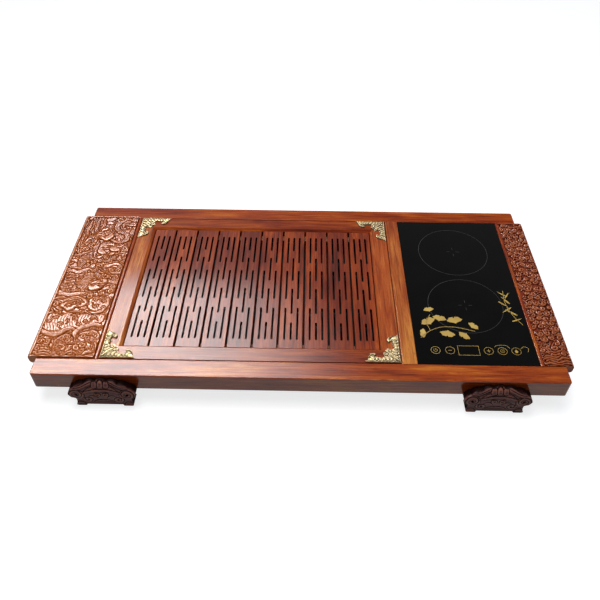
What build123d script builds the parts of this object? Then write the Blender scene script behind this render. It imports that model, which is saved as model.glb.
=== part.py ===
"""Gongfu tea table: rosewood frame with carved ends, lift-out drain grid and drop-in induction hob.

Millimetres. +X runs along the table to the right, +Z is up, and the front is at -Y.
The origin is on the floor, under the middle of the table.
"""
import os
from math import cos, radians, sin, sqrt

from build123d import *

# Layout along the table, from the left end to the right end
carved_left_width = 108.5
bead_width = 7.0
grid_bay = 498.0
stile_width = 25.0
hob_bay = 200.0
end_bar_width = 5.5
carved_right_width = 49.0
panel_overhang = 13.5        # how far each carved panel stands out past the rail ends

# Rails
bay_depth = 372.0            # clear depth between the two rails
rail_width = 34.0
rail_height = 33.0
rail_corner_round = 4.0
rail_edge_round = 1.5
foot_height = 29.0           # floor to the underside of the rails

# Carved panels
panel_gap = 1.0              # shadow gap between a carved panel and the rails
carved_left_rise = 6.0       # how far its top stands above the rails
carved_left_thickness = 21.0
carved_right_rise = 3.0
carved_right_thickness = 20.0
panel_edge_round = 5.0
panel_border = 2.4           # plain rim round the carved field
carved_left_rim = 6.5        # the same along the outer end of the left panel
panel_field_depth = 4.0
field_round = 2.0
motif_ease = 0.9             # along the upper edge of each carved motif

# Main motifs of the left panel: the rise, then the outline from the panel's middle.
left_motifs = (
    # Carp's head
    (3.6, ((-12.0, 8.0), (-4.0, 17.0), (11.0, 15.0), (25.0, 8.0), (33.0, -3.0), (35.0, -16.0), (26.0, -27.0),
           (15.0, -35.0), (3.0, -37.0), (-8.0, -31.0), (-13.0, -14.0))),
    # Peach
    (3.6, ((-35.0, -66.0), (-28.0, -54.0), (-16.0, -47.0), (-2.0, -47.0), (9.0, -55.0), (11.0, -67.0),
           (-4.0, -74.0), (-18.0, -83.0), (-33.0, -74.0))),
    # Gate tower
    (3.2, ((-46.0, 6.0), (-28.0, 7.0), (-25.0, -14.0), (-27.0, -27.0), (-46.0, -28.0))),
    # Long cloud
    (3.4, ((-46.0, -42.0), (-33.0, -46.0), (-13.0, -47.0), (5.0, -40.0), (6.0, -34.0), (-10.0, -37.0),
           (-28.0, -38.0), (-46.0, -34.0))),
    # Wave crests
    (3.8, ((-46.0, -131.0), (-27.0, -143.0), (-14.0, -138.0), (-5.0, -131.0), (11.0, -131.0), (4.0, -121.0),
           (-8.0, -123.0), (-20.0, -131.0), (-29.0, -135.0), (-46.0, -123.0))),
    (3.8, ((9.0, -152.0), (6.0, -138.0), (12.0, -124.0), (22.0, -116.0), (37.0, -111.0), (50.0, -113.0),
           (50.0, -121.0), (36.0, -119.0), (25.0, -123.0), (18.0, -131.0), (14.0, -140.0), (16.0, -152.0))),
    # Dragon's coil, in two turns
    (3.6, ((50.0, 176.0), (34.0, 182.0), (18.0, 174.0), (10.0, 153.0), (20.0, 136.0), (37.0, 126.0),
           (41.0, 131.0), (30.0, 141.0), (22.0, 153.0), (28.0, 165.0), (38.0, 170.0), (50.0, 165.0))),
    (3.6, ((45.0, 127.0), (51.0, 115.0), (42.0, 102.0), (28.0, 101.0), (14.0, 106.0), (2.0, 116.0),
           (8.0, 122.0), (21.0, 114.0), (32.0, 110.0), (40.0, 116.0), (37.0, 124.0))),
    # Dragon's head
    (3.8, ((-6.0, 131.0), (2.0, 136.0), (12.0, 132.0), (17.0, 122.0), (14.0, 112.0), (4.0, 108.0),
           (-12.0, 118.0))),
    # Wing
    (3.2, ((-33.0, 47.0), (-28.0, 62.0), (-16.0, 68.0), (-4.0, 60.0), (-2.0, 45.0), (-10.0, 33.0),
           (-24.0, 32.0))),
    # Clouds beside the wing
    (3.0, ((-46.0, 95.0), (-36.0, 100.0), (-20.0, 98.0), (-14.0, 88.0), (-22.0, 78.0), (-36.0, 72.0),
           (-46.0, 82.0))),
    (3.2, ((-46.0, 28.0), (-38.0, 40.0), (-32.0, 28.0), (-16.0, 24.0), (-4.0, 26.0), (2.0, 20.0),
           (-14.0, 17.0), (-32.0, 19.0))),
    # Rocks
    (3.6, ((-6.0, 82.0), (4.0, 84.0), (13.0, 72.0), (8.0, 66.0), (-4.0, 74.0))),
    (3.6, ((20.0, 90.0), (34.0, 88.0), (38.0, 79.0), (18.0, 82.0))),
    (3.2, ((26.0, 62.0), (40.0, 66.0), (50.0, 62.0), (50.0, 50.0), (38.0, 44.0), (26.0, 50.0))),
    # Bank of cloud under the rocks
    (3.2, ((12.0, 36.0), (26.0, 42.0), (38.0, 36.0), (50.0, 40.0), (50.0, 30.0), (36.0, 24.0), (20.0, 26.0))),
    # Leaves
    (3.0, ((14.0, -46.0), (47.0, -44.0), (50.0, -60.0), (50.0, -82.0), (20.0, -84.0), (14.0, -64.0))),
    # Lion's mask
    (3.6, ((-18.0, -167.0), (-15.0, -157.0), (-6.0, -154.0), (3.0, -158.0), (6.0, -168.0), (2.0, -177.0),
           (-7.0, -180.0), (-16.0, -176.0))),
    # Altar
    (3.4, ((-44.0, -182.0), (-18.0, -182.0), (-23.0, -166.0), (-26.0, -158.0), (-26.0, -150.0),
           (-36.0, -150.0), (-36.0, -158.0), (-39.0, -166.0))),
    # Knotted cloud
    (3.4, ((12.0, -180.0), (16.0, -163.0), (28.0, -154.0), (42.0, -156.0), (50.0, -166.0), (42.0, -178.0),
           (27.0, -181.0))),
)
# Rows of flutes: x and y of the first, step in x and y, length, width and rise.
left_flutes = ((-43.0, 143.0, 8.6, 3.4, 64.0, 6.0, 2.8), (-42.0, -104.0, 12.0, 0.0, 24.0, 7.0, 2.8))
left_flute_counts = (4, 8)
left_flute_turns = (92.0, 96.0)     # degrees
# The right panel: staggered rows of knobs, and a few waves at its front end.
right_knob_radius = 8.8
right_knob_pitch_y = 17.5
right_knob_rise = 2.9
right_knob_taper = 2.2
right_wave_count = 3
right_wave_pitch = 11.0
right_wave_width = 7.0
right_wave_turn = 7.0        # degrees, to either side in turn
tongue_thickness = 7.0
tongue_length = 8.0
tongue_inset = 12.0          # from the rail ends and from the bead to the tongue

# Joinery between the cross pieces and the rails
tenon_length = 10.0
tenon_clearance = 0.15
tenon_shoulder = 2.0
mortise_spare_depth = 0.5
bearer_width = 30.0
ledge_width = 9.0
ledge_height = 10.0
bead_round = 3.0

# Drain grid
grid_clearance = 1.5
grid_sink = 0.5              # the grid frame lies this much below the rails
grid_frame_width = 31.0
grid_frame_thickness = 15.0
grid_bevel_width = 4.5
grid_bevel_drop = 4.0
slat_count = 10
slat_gap = 3.4
slat_thickness = 10.0
slat_end_gap = 0.2
slat_chamfer = 0.6
slat_tongue_length = 6.0
slat_tongue_thickness = 5.6
slat_tongue_clearance = 0.2
slot_width = 3.6
slot_outer_length = 75.0
slot_outer_spacing = 97.0
slot_middle_long = 63.0
slot_middle_short = 40.0
slot_middle_web = 21.0
batten_width = 14.0
batten_thickness = 6.0
batten_inset = 2.0           # from the inner face of the grid frame

# Brass corners of the grid
corner_leg_x = 58.0
corner_leg_y = 61.0
corner_thickness = 1.2
corner_margin = 0.6
corner_round = 1.1           # on the points and bays of its outline
# Its outline from the tip of the x leg to the middle: along the leg and across it
corner_outline = ((58.0, 0.0), (53.9, 5.2), (52.5, 11.0), (48.7, 16.8), (43.5, 19.1), (38.9, 17.1),
                  (42.0, 13.6), (43.8, 10.7), (36.0, 10.1), (26.1, 9.6), (26.4, 14.5), (28.4, 19.1),
                  (24.9, 21.5))
corner_pin_places = ((31.3, 5.2), (49.3, 5.2))
corner_middle_pin = 12.0     # from both edges
pin_shank = 0.7
pin_head = 1.6
pin_head_height = 0.8
pin_length = 6.0

# Drain basin and its outlet
basin_clearance = 1.5
basin_rim = 2.0
basin_wall = 2.0
basin_well_gap = 3.0         # between the well and the ledges around it
basin_depth = 18.5           # rim underside to the underside of the floor
basin_corner_round = 14.0
drain_inset = 46.0           # left side of the grid bay to the drain
spigot_flange_radius = 14.0
spigot_flange_thickness = 2.0
spigot_thread_radius = 8.0
spigot_thread_length = 13.0
spigot_tail_radius = 6.0
spigot_bore_radius = 4.25
spigot_floor_gap = 4.0
spigot_tail_chamfer = 0.8
gasket_radius = 13.0
gasket_thickness = 2.0
nut_across_flats = 24.0
nut_thickness = 5.0
strainer_thickness = 1.2
strainer_slot_count = 6
strainer_slot_inner = 3.5    # from the middle of the strainer
strainer_slot_outer = 11.9
strainer_slot_width = 2.2
ring_clearance = 0.1

# Hob
hob_clearance = 0.3
glass_thickness = 4.0
glass_sink = 0.5
glass_corner_round = 3.0
glass_edge_chamfer = 0.6
tub_gap = 2.0                # between the tub and the ledges that hold the glass
tub_floor_clearance = 12.0   # floor to the underside of the tub
tub_wall = 2.0
tub_corner_round = 8.0
tub_chamfer = 1.5            # round the underside of the tub
carrier_front_share = 0.49   # of the spare depth in the tub, in front of the coil carriers
coil_outer_radius = 55.0
coil_inner_radius = 18.0
coil_thickness = 4.5
coil_air_gap = 3.0           # glass to the top of the coil
carrier_radius = 66.0
carrier_thickness = 3.0
carrier_bore_radius = 13.0
post_circle = 61.0
post_radius = 4.0
post_count = 3
board_post_radius = 3.0
board_post_inset = 6.0       # side edge of the power board to its posts
touch_post_inset = 8.0       # end of the touch board to its posts
ferrite_count = 6
ferrite_length = 36.0
ferrite_width = 9.0
ferrite_thickness = 4.0
ferrite_inner_radius = 16.0
fan_offset_y = -12.0         # from the middle of the front coil
fan_side = 64.0
fan_height = 15.0
fan_bore_radius = 29.5
fan_hub_radius = 12.0
fan_blade_radius = 28.0
fan_blade_count = 7
fan_blade_thickness = 1.2
fan_blade_pitch = 38.0       # degrees from the plane of the rotor
fan_shaft_radius = 1.5
fan_shaft_clearance = 0.05
fan_strut_height = 3.0
fan_strut_count = 3
fan_strut_width = 4.0
fan_corner_round = 5.0
fan_hub_round = 1.5
fan_gap = 1.0                # rotor to the frame below it and to the frame's top
fan_root = 1.0               # how far struts and blades run into what carries them
board_width = 134.0
board_depth = 112.0
board_thickness = 1.6
board_standoff = 6.0
board_offset = 6.0           # middle of the rear coil to the middle of the board
board_post_clearance = 1.5   # round the carrier posts that pass through the board
sink_width = 46.0
sink_depth = 64.0
sink_base = 3.0
sink_height = 15.0
sink_fin_count = 8
sink_fin_thickness = 1.5
sink_gap = 1.0               # between the heat sink and the middle of the hob
capacitor_radius = 7.0
capacitor_height = 16.0
capacitor_inset = 23.0       # right edge of the power board to the outer capacitors
capacitor_y = -12.0          # from the middle of the rear coil
capacitor_pitch_x = 20.0
capacitor_pitch_y = 22.0
key_row_inset = 30.6         # front edge of the glass to the row of touch keys
touch_board_width = 154.0
touch_board_depth = 30.0
touch_board_gap = 1.5        # glass to the touch board, filled by its pads
display_width = 34.5
display_depth = 20.0
display_x = -12.0            # from the middle of the hob
gland_radius = 5.0
gland_flange_radius = 7.0
gland_flange_thickness = 2.0
gland_bore_radius = 3.5
gland_length = 8.0           # below the tub
gland_x = 45.0               # from the middle of the hob
gland_inset = 14.0           # from the rear wall of the tub
vent_width = 5.0
vent_pitch = 9.0
side_vent_count = 8
side_vent_length = 14.0
side_vent_inset = 8.0        # from the end wall of the tub
side_vent_start = 75.0       # from the front wall of the tub

# Feet
foot_spacing = 639.0         # between the middles of the left and right feet
foot_crown = 4.5             # rail top down to the top of the foot
foot_plate_back = 8.0        # how far the carved plate runs under the rail
foot_pad_width = 70.0
foot_pad_depth = 30.0        # rail face to the back of the pad
foot_belly = 17.0            # how far the scrolls stand out from the rail
foot_crest = 4.5             # the same at its top
foot_ankle = 14.5            # the same near the floor
foot_ankle_height = 12.0
foot_half_width = 54.2
foot_brow_drop = 12.0        # top of the foot down to where the face starts to lean back
foot_brow_lean = 2.5
shoulder_x = 28.0
shoulder_drop = 6.9          # top of the foot down to the shoulders
shoulder_bulge = 3.0
side_crown_x = 18.0
crown_x = 9.5                # half width of the middle bump
crown_notch = 3.6
toe_half_width = 47.0
toe_length = 16.0
toe_round = 2.5
apron_rise = 2.5
apron_slope = 1.5
volute_radius = 12.6
eye_radius = 3.2
eye_depth = 2.0

# Wood screws
ledge_screw_shank = 1.75
ledge_screw_head = 3.5
ledge_screw_length = 18.0
foot_screw_shank = 2.2
foot_screw_head = 4.2
foot_screw_length = 30.0
foot_screw_spacing = 40.0
foot_screw_recess = 12.0
tub_screw_shank = 1.5
tub_screw_head = 3.0
tub_screw_length = 9.0
screw_clearance = 0.1

# Places that follow from the sizes above
overall_length = (carved_left_width + bead_width + grid_bay + stile_width + hob_bay
                  + end_bar_width + carved_right_width)
rail_length = overall_length - 2 * panel_overhang
x_left = -overall_length / 2
x_bead = x_left + carved_left_width
x_grid = x_bead + bead_width
x_stile = x_grid + grid_bay
x_hob = x_stile + stile_width
x_end_bar = x_hob + hob_bay
x_carved_right = x_end_bar + end_bar_width
x_right = x_carved_right + carved_right_width
hob_x = x_hob + hob_bay / 2

y_bay = bay_depth / 2
y_face = y_bay + rail_width
rail_bottom = foot_height
rail_top = rail_bottom + rail_height
grid_top = rail_top - grid_sink
grid_bottom = grid_top - grid_frame_thickness
grid_ledge_top = grid_bottom - basin_rim
glass_top = rail_top - glass_sink
glass_bottom = glass_top - glass_thickness


def block(x0, x1, y0, y1, z0, z1):
    """A box given by its two corners."""
    return Pos(x0, y0, z0) * Box(x1 - x0, y1 - y0, z1 - z0, align=(Align.MIN,) * 3)


def rod(x, y, z0, z1, radius):
    """An upright cylinder."""
    return Pos(x, y, z0) * Cylinder(radius, z1 - z0, align=(Align.CENTER, Align.CENTER, Align.MIN))


def bar_along_y(outline, y0, y1):
    """An (x, z) outline extruded from y0 to y1."""
    face = make_face(Polyline(*[(x, y0, z) for x, z in outline], close=True))
    return extrude(face, amount=y1 - y0, dir=(0, 1, 0))


def bar_along_x(outline, x0, x1):
    """A (y, z) outline extruded from x0 to x1."""
    face = make_face(Polyline(*[(x0, y, z) for y, z in outline], close=True))
    return extrude(face, amount=x1 - x0, dir=(1, 0, 0))


def plate(outline, z0, z1):
    """An (x, y) outline extruded from z0 to z1."""
    face = make_face(Polyline(*[(x, y, z0) for x, y in outline], close=True))
    return extrude(face, amount=z1 - z0, dir=(0, 0, 1))


def rear(shape):
    """The mirror image of a front piece."""
    return mirror(shape, about=Plane.XZ)


def screw(shank, head, length, grow=0.0):
    """A countersunk screw along -Z, its flat head at z = 0; grow turns it into its bore."""
    cone_height = head - shank
    cone = Pos(0, 0, -cone_height) * Cone(shank + grow, head + grow, cone_height,
                                          align=(Align.CENTER, Align.CENTER, Align.MIN))
    return cone + rod(0, 0, -length - grow, -cone_height, shank + grow)


def save(name, shape):
    """Write one node; a list of solids becomes one group."""
    if isinstance(shape, list):
        shape = Compound([solid for item in shape for solid in item.solids()])
    export_step(shape, os.path.join("parts", name + ".step"))


# ---------------------------------------------------------------- cross pieces between the rails
# Each one: its (x, z) outline, and the x and z span of its tenons.

def with_tenons(body, span):
    """Add a tenon at each end of a piece that runs between the rails."""
    x0, x1, z0, z1 = span
    return body + block(x0, x1, -y_bay - tenon_length, y_bay + tenon_length, z0, z1)


def mortise(span):
    """The pocket in the front rail for a tenon of the given span."""
    x0, x1, z0, z1 = span
    slack = tenon_clearance
    return block(x0 - slack, x1 + slack, -y_bay - tenon_length - mortise_spare_depth, -y_bay,
                 z0 - slack, z1 + slack)


carved_left_bottom = rail_top + carved_left_rise - carved_left_thickness
carved_right_bottom = rail_top + carved_right_rise - carved_right_thickness
ledge_foot = grid_ledge_top - ledge_height
glass_ledge_foot = glass_bottom - ledge_height

bearer_left_x = (-rail_length / 2 + x_bead) / 2
bearer_left = (bearer_left_x - bearer_width / 2, bearer_left_x + bearer_width / 2,
               rail_bottom, carved_left_bottom)
bearer_right_x = (x_carved_right + rail_length / 2) / 2
bearer_right = (bearer_right_x - bearer_width / 3, bearer_right_x + bearer_width / 3,
                rail_bottom, carved_right_bottom)


def inset_span(x0, x1, z0, z1):
    """A tenon with a shoulder all round."""
    return (x0 + tenon_shoulder, x1 - tenon_shoulder, z0 + tenon_shoulder, z1 - tenon_shoulder)


bead_outline = [(x_bead, ledge_foot), (x_grid + ledge_width, ledge_foot),
                (x_grid + ledge_width, grid_ledge_top), (x_grid, grid_ledge_top),
                (x_grid, rail_top), (x_bead, rail_top)]
stile_outline = [(x_stile - ledge_width, ledge_foot), (x_hob, ledge_foot),
                 (x_hob, glass_ledge_foot), (x_hob + ledge_width, glass_ledge_foot),
                 (x_hob + ledge_width, glass_bottom), (x_hob, glass_bottom),
                 (x_hob, rail_top), (x_stile, rail_top),
                 (x_stile, grid_ledge_top), (x_stile - ledge_width, grid_ledge_top)]
end_bar_outline = [(x_end_bar - ledge_width, glass_ledge_foot), (x_carved_right, glass_ledge_foot),
                   (x_carved_right, rail_top), (x_end_bar, rail_top),
                   (x_end_bar, glass_bottom), (x_end_bar - ledge_width, glass_bottom)]

tenon_spans = {
    "cross_bearer_left": inset_span(*bearer_left),
    "cross_bearer_right": inset_span(*bearer_right),
    "bead_bar": inset_span(x_bead, x_grid + ledge_width, ledge_foot, grid_ledge_top),
    "middle_stile": inset_span(x_stile, x_hob, ledge_foot, glass_bottom),
    "hob_end_bar": inset_span(x_end_bar - ledge_width, x_carved_right, glass_ledge_foot, glass_bottom),
}


def panel_tongue_span(x0, x1, bottom):
    """Where a carved panel's tongues lie: x0 and x1 bound the panel between the rail end and its bar."""
    middle = (bottom + rail_top) / 2
    return (x0 + tongue_inset, x1 - tongue_inset,
            middle - tongue_thickness / 2, middle + tongue_thickness / 2)


tongue_left = panel_tongue_span(-rail_length / 2, x_bead, carved_left_bottom)
tongue_right = panel_tongue_span(x_carved_right, rail_length / 2, carved_right_bottom)


def tongue_pocket(span):
    """The pocket in the front rail for a carved panel's tongue."""
    x0, x1, z0, z1 = span
    slack = tenon_clearance
    return block(x0 - slack, x1 + slack, -y_bay - tongue_length - slack, -y_bay, z0 - slack, z1 + slack)


# ---------------------------------------------------------------- ledges and their screws
grid_ledge_span = (x_grid + ledge_width, x_stile - ledge_width)
glass_ledge_span = (x_hob + ledge_width, x_end_bar - ledge_width)


def even_places(start, end, count):
    """Places spread evenly between two ends, half a step in from each."""
    step = (end - start) / count
    return [start + step * (i + 0.5) for i in range(count)]


ledge_screw_places = (
    [(x, (ledge_foot + grid_ledge_top) / 2) for x in even_places(*grid_ledge_span, 4)]
    + [(x, (glass_ledge_foot + glass_bottom) / 2) for x in even_places(*glass_ledge_span, 2)])


def ledge_screws(grow=0.0):
    """The screws that hold the front ledges to the front rail, or their bores."""
    one = Rot(-90, 0, 0) * screw(ledge_screw_shank, ledge_screw_head, ledge_screw_length, grow)
    return [Pos(x, -y_bay + ledge_width, z) * one for x, z in ledge_screw_places]


def ledge(span, z0, z1):
    """A front ledge with its screw bores."""
    strip = block(*span, -y_bay, -y_bay + ledge_width, z0, z1)
    for bore in ledge_screws(screw_clearance):
        strip -= bore
    return strip


grid_ledge_front = ledge(grid_ledge_span, ledge_foot, grid_ledge_top)
hob_ledge_front = ledge(glass_ledge_span, glass_ledge_foot, glass_bottom)

# ---------------------------------------------------------------- feet
foot_x = foot_spacing / 2
foot_screw_y = -y_face + (foot_plate_back + foot_pad_depth) / 2
foot_top = rail_top - foot_crown
volute_z = foot_height + volute_radius / 6
volute_u = foot_half_width - volute_radius


def foot_screws(x, grow=0.0):
    """The two screws that hold one front foot, or their bores."""
    one = Rot(180, 0, 0) * screw(foot_screw_shank, foot_screw_head, foot_screw_length, grow)
    return [Pos(x + side * foot_screw_spacing / 2, foot_screw_y, foot_screw_recess) * one
            for side in (-1, 1)]


def volute_rim(turn):
    """A point on the rim of the right end scroll, turned up from its outermost point."""
    return (volute_u + volute_radius * cos(radians(turn)), volute_z + volute_radius * sin(radians(turn)))


def foot():
    """A front foot at x = 0: a carved scroll bracket that laps the rail's face, with a pad under the rail."""
    with BuildSketch(Plane.XZ) as front:
        with BuildLine():
            arch = Line((0, apron_rise), (toe_half_width - toe_length - apron_slope, apron_rise))
            step = Line(arch @ 1, (toe_half_width - toe_length, 0))
            sole = Line(step @ 1, (toe_half_width - toe_round, 0))
            toe = TangentArc(sole @ 1, (toe_half_width, toe_round), tangent=(1, 0))
            ankle = ThreePointArc(toe @ 1, (toe_half_width - toe_round, foot_ankle_height),
                                  volute_rim(-75))
            scroll = ThreePointArc(ankle @ 1, volute_rim(0), volute_rim(75))
            brow = ((volute_rim(75)[0] + shoulder_x) / 2, (volute_rim(75)[1] + foot_top - shoulder_drop) / 2)
            shoulder = ThreePointArc(scroll @ 1, (brow[0], brow[1] + shoulder_bulge),
                                     (shoulder_x, foot_top - shoulder_drop))
            side_crown = ThreePointArc(shoulder @ 1, (side_crown_x, foot_top - crown_notch / 3),
                                       (crown_x, foot_top - crown_notch))
            ThreePointArc(side_crown @ 1, (crown_x * 0.6, foot_top - crown_notch / 4), (0, foot_top))
            mirror(about=Plane.YZ)
        make_face()
    body = Pos(0, -y_face + foot_pad_depth, 0) * extrude(front.sketch, amount=foot_pad_depth + foot_belly)
    with BuildSketch(Plane.YZ) as side:
        with BuildLine():
            face = Spline((-y_face - foot_ankle - 1, 0), (-y_face - foot_ankle, foot_ankle_height),
                          (-y_face - foot_belly, foot_height + 3),
                          (-y_face - foot_belly + foot_brow_lean, foot_top - foot_brow_drop),
                          (-y_face - foot_crest, foot_top))
            Polyline(face @ 1, (-y_face, foot_top), (-y_face, foot_height),
                     (-y_face + foot_pad_depth, foot_height), (-y_face + foot_pad_depth, 0), face @ 0)
        make_face()
    body &= Pos(-foot_half_width, 0, 0) * extrude(side.sketch, amount=2 * foot_half_width)
    for side_sign in (-1, 1):
        beside = foot_pad_width / 2 * side_sign
        beyond = foot_half_width * side_sign
        body -= block(min(beside, beyond), max(beside, beyond), -y_face + foot_plate_back,
                      -y_face + foot_pad_depth, 0, foot_height)
        eye = Pos(volute_u * side_sign, -y_face - foot_belly, volute_z) * Rot(90, 0, 0)
        body -= eye * Cylinder(eye_radius, 2 * eye_depth)
    for bore in foot_screws(0, screw_clearance):
        body -= bore
    for side_sign in (-1, 1):
        body -= rod(side_sign * foot_screw_spacing / 2, foot_screw_y, 0, foot_screw_recess,
                    foot_screw_head + screw_clearance)
    return body


front_foot = foot()
for name, x in (("left", -foot_x), ("right", foot_x)):
    placed = Pos(x, 0, 0) * front_foot
    save("foot_front_" + name, placed)
    save("foot_rear_" + name, rear(placed))
front_foot_screws = foot_screws(-foot_x) + foot_screws(foot_x)
save("foot_screws", front_foot_screws + [rear(item) for item in front_foot_screws])

# ---------------------------------------------------------------- rails
rail = block(-rail_length / 2, rail_length / 2, -y_face, -y_bay, rail_bottom, rail_top)
rail = fillet(rail.edges().filter_by(Axis.Z).group_by(Axis.Y)[0], rail_corner_round)
rail = fillet(rail.edges().group_by(Axis.Z)[-1], rail_edge_round)
for span in tenon_spans.values():
    rail -= mortise(span)
for span in (tongue_left, tongue_right):
    rail -= tongue_pocket(span)
for bore in ledge_screws(screw_clearance) + foot_screws(-foot_x, screw_clearance) + foot_screws(
        foot_x, screw_clearance):
    rail -= bore
save("front_rail", rail)
save("rear_rail", rear(rail))
save("grid_ledge_front", grid_ledge_front)
save("grid_ledge_rear", rear(grid_ledge_front))
save("hob_ledge_front", hob_ledge_front)
save("hob_ledge_rear", rear(hob_ledge_front))
front_ledge_screws = ledge_screws()
save("ledge_screws", front_ledge_screws + [rear(item) for item in front_ledge_screws])

# ---------------------------------------------------------------- bars between the rails
save("cross_bearer_left", with_tenons(
    block(bearer_left[0], bearer_left[1], -y_bay, y_bay, bearer_left[2], bearer_left[3]),
    tenon_spans["cross_bearer_left"]))
save("cross_bearer_right", with_tenons(
    block(bearer_right[0], bearer_right[1], -y_bay, y_bay, bearer_right[2], bearer_right[3]),
    tenon_spans["cross_bearer_right"]))
bead_bar = bar_along_y(bead_outline, -y_bay, y_bay)
bead_bar = fillet(bead_bar.edges().filter_by(Axis.Y).group_by(Axis.Z)[-1], bead_round)
save("bead_bar", with_tenons(bead_bar, tenon_spans["bead_bar"]))
middle_stile = bar_along_y(stile_outline, -y_bay, y_bay)
middle_stile = fillet(middle_stile.edges().filter_by(Axis.Y).group_by(Axis.Z)[-1], rail_edge_round)
save("middle_stile", with_tenons(middle_stile, tenon_spans["middle_stile"]))
end_bar = bar_along_y(end_bar_outline, -y_bay, y_bay)
end_bar = fillet(end_bar.edges().filter_by(Axis.Y).group_by(Axis.Z)[-1], rail_edge_round)
save("hob_end_bar", with_tenons(end_bar, tenon_spans["hob_end_bar"]))


# ---------------------------------------------------------------- carved panels
def motif(face, rise):
    """A raised motif of a carving, its upper edge eased."""
    solid = extrude(face, amount=rise)
    return chamfer(solid.edges().group_by(Axis.Z)[-1], motif_ease)


def left_carving():
    """The main motifs of the left panel, with rows of flutes."""
    made = [motif(make_face(Polyline(*points, close=True)), rise) for rise, points in left_motifs]
    for row, count, turn in zip(left_flutes, left_flute_counts, left_flute_turns):
        x, y, step_x, step_y, length, width, rise = row
        flute = Rot(0, 0, turn) * motif(Rectangle(length, width), rise)
        made += [Pos(x + index * step_x, y + index * step_y) * flute for index in range(count)]
    return made


def right_carving():
    """Staggered knobs of cloud, with waves across the front end of the panel."""
    y_field = y_bay - panel_gap - panel_border
    wave = motif(Rectangle(carved_right_width, right_wave_width), right_knob_rise)
    turns = [Rot(0, 0, right_wave_turn), Rot(0, 0, -right_wave_turn)]
    made = [Pos(0, (index + 0.5) * right_wave_pitch - y_field) * turns[index % 2] * wave
            for index in range(right_wave_count)]
    y_first = right_wave_count * right_wave_pitch + right_knob_radius - y_field
    rows = int((y_field - right_knob_radius - y_first) // right_knob_pitch_y) + 1
    knob = Cone(right_knob_radius, right_knob_radius - right_knob_taper, right_knob_rise,
                align=(Align.CENTER, Align.CENTER, Align.MIN))
    places = [(side * carved_right_width / 4, y_first + (row + side / 4) * right_knob_pitch_y)
              for row in range(rows) for side in (-1, 1)]
    return made + [Pos(x, y) * knob for x, y in places]


def carved_panel(x0, x1, bottom, top, tongue, outer_side, motifs):
    """A thick end board with a carved field and a tongue into each rail."""
    y_edge = y_bay - panel_gap
    board = block(x0, x1, -y_edge, y_edge, bottom, top)
    end_edges = board.edges().filter_by(Axis.Y).group_by(Axis.X)[0 if outer_side < 0 else -1]
    board = fillet(end_edges, panel_edge_round)
    outer_rim = carved_left_rim if outer_side < 0 else panel_border
    field = block(x0 + outer_rim, x1 - panel_border, -y_edge + panel_border, y_edge - panel_border,
                  top - panel_field_depth, top)
    field = fillet(field.edges().filter_by(Axis.Z), field_round)
    carving = Pos((x0 + x1) / 2, 0, top - panel_field_depth) * (Part() + motifs) & field
    x_in, x_out, z0, z1 = tongue
    return board - field + carving + block(x_in, x_out, -y_bay - tongue_length, y_bay + tongue_length, z0, z1)


save("carved_panel_left", carved_panel(
    x_left, x_bead, carved_left_bottom, rail_top + carved_left_rise, tongue_left, -1, left_carving()))
save("carved_panel_right", carved_panel(
    x_carved_right, x_right, carved_right_bottom, rail_top + carved_right_rise, tongue_right, 1,
    right_carving()))

# ---------------------------------------------------------------- drain basin and outlet
well_x0 = x_grid + ledge_width + basin_well_gap
well_x1 = x_stile - ledge_width - basin_well_gap
well_y = y_bay - ledge_width - basin_well_gap
basin_floor_under = grid_ledge_top - basin_depth
basin_floor = basin_floor_under + basin_wall
drain_x = x_grid + drain_inset


def rounded_block(x0, x1, y0, y1, z0, z1, radius):
    """A box with rounded upright edges."""
    solid = block(x0, x1, y0, y1, z0, z1)
    return fillet(solid.edges().filter_by(Axis.Z), radius)


basin = block(x_grid + basin_clearance, x_stile - basin_clearance, -y_bay + basin_clearance,
              y_bay - basin_clearance, grid_ledge_top, grid_bottom)
basin += rounded_block(well_x0, well_x1, -well_y, well_y, basin_floor_under, grid_ledge_top,
                       basin_corner_round)
basin -= rounded_block(well_x0 + basin_wall, well_x1 - basin_wall, -well_y + basin_wall,
                       well_y - basin_wall, basin_floor, grid_bottom, basin_corner_round - basin_wall)
basin -= rod(drain_x, 0, basin_floor_under, basin_floor, spigot_thread_radius + ring_clearance)
save("drain_basin", basin)

flange_top = basin_floor + spigot_flange_thickness
thread_bottom = flange_top - spigot_flange_thickness - spigot_thread_length
spigot = rod(drain_x, 0, basin_floor, flange_top, spigot_flange_radius)
spigot += rod(drain_x, 0, thread_bottom, basin_floor, spigot_thread_radius)
spigot += rod(drain_x, 0, spigot_floor_gap, thread_bottom, spigot_tail_radius)
spigot = chamfer(spigot.edges().group_by(Axis.Z)[0], spigot_tail_chamfer)
spigot -= rod(drain_x, 0, spigot_floor_gap, flange_top, spigot_bore_radius)
save("drain_spigot", spigot)

gasket = rod(drain_x, 0, basin_floor_under - gasket_thickness, basin_floor_under, gasket_radius)
gasket -= rod(drain_x, 0, basin_floor_under - gasket_thickness, basin_floor_under,
              spigot_thread_radius + ring_clearance)
save("drain_gasket", gasket)

nut_top = basin_floor_under - gasket_thickness
nut_face = RegularPolygon(nut_across_flats / 2, 6, major_radius=False)
nut = Pos(drain_x, 0, nut_top - nut_thickness) * extrude(nut_face, amount=nut_thickness)
nut -= rod(drain_x, 0, nut_top - nut_thickness, nut_top, spigot_thread_radius + ring_clearance)
save("drain_nut", nut)

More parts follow.
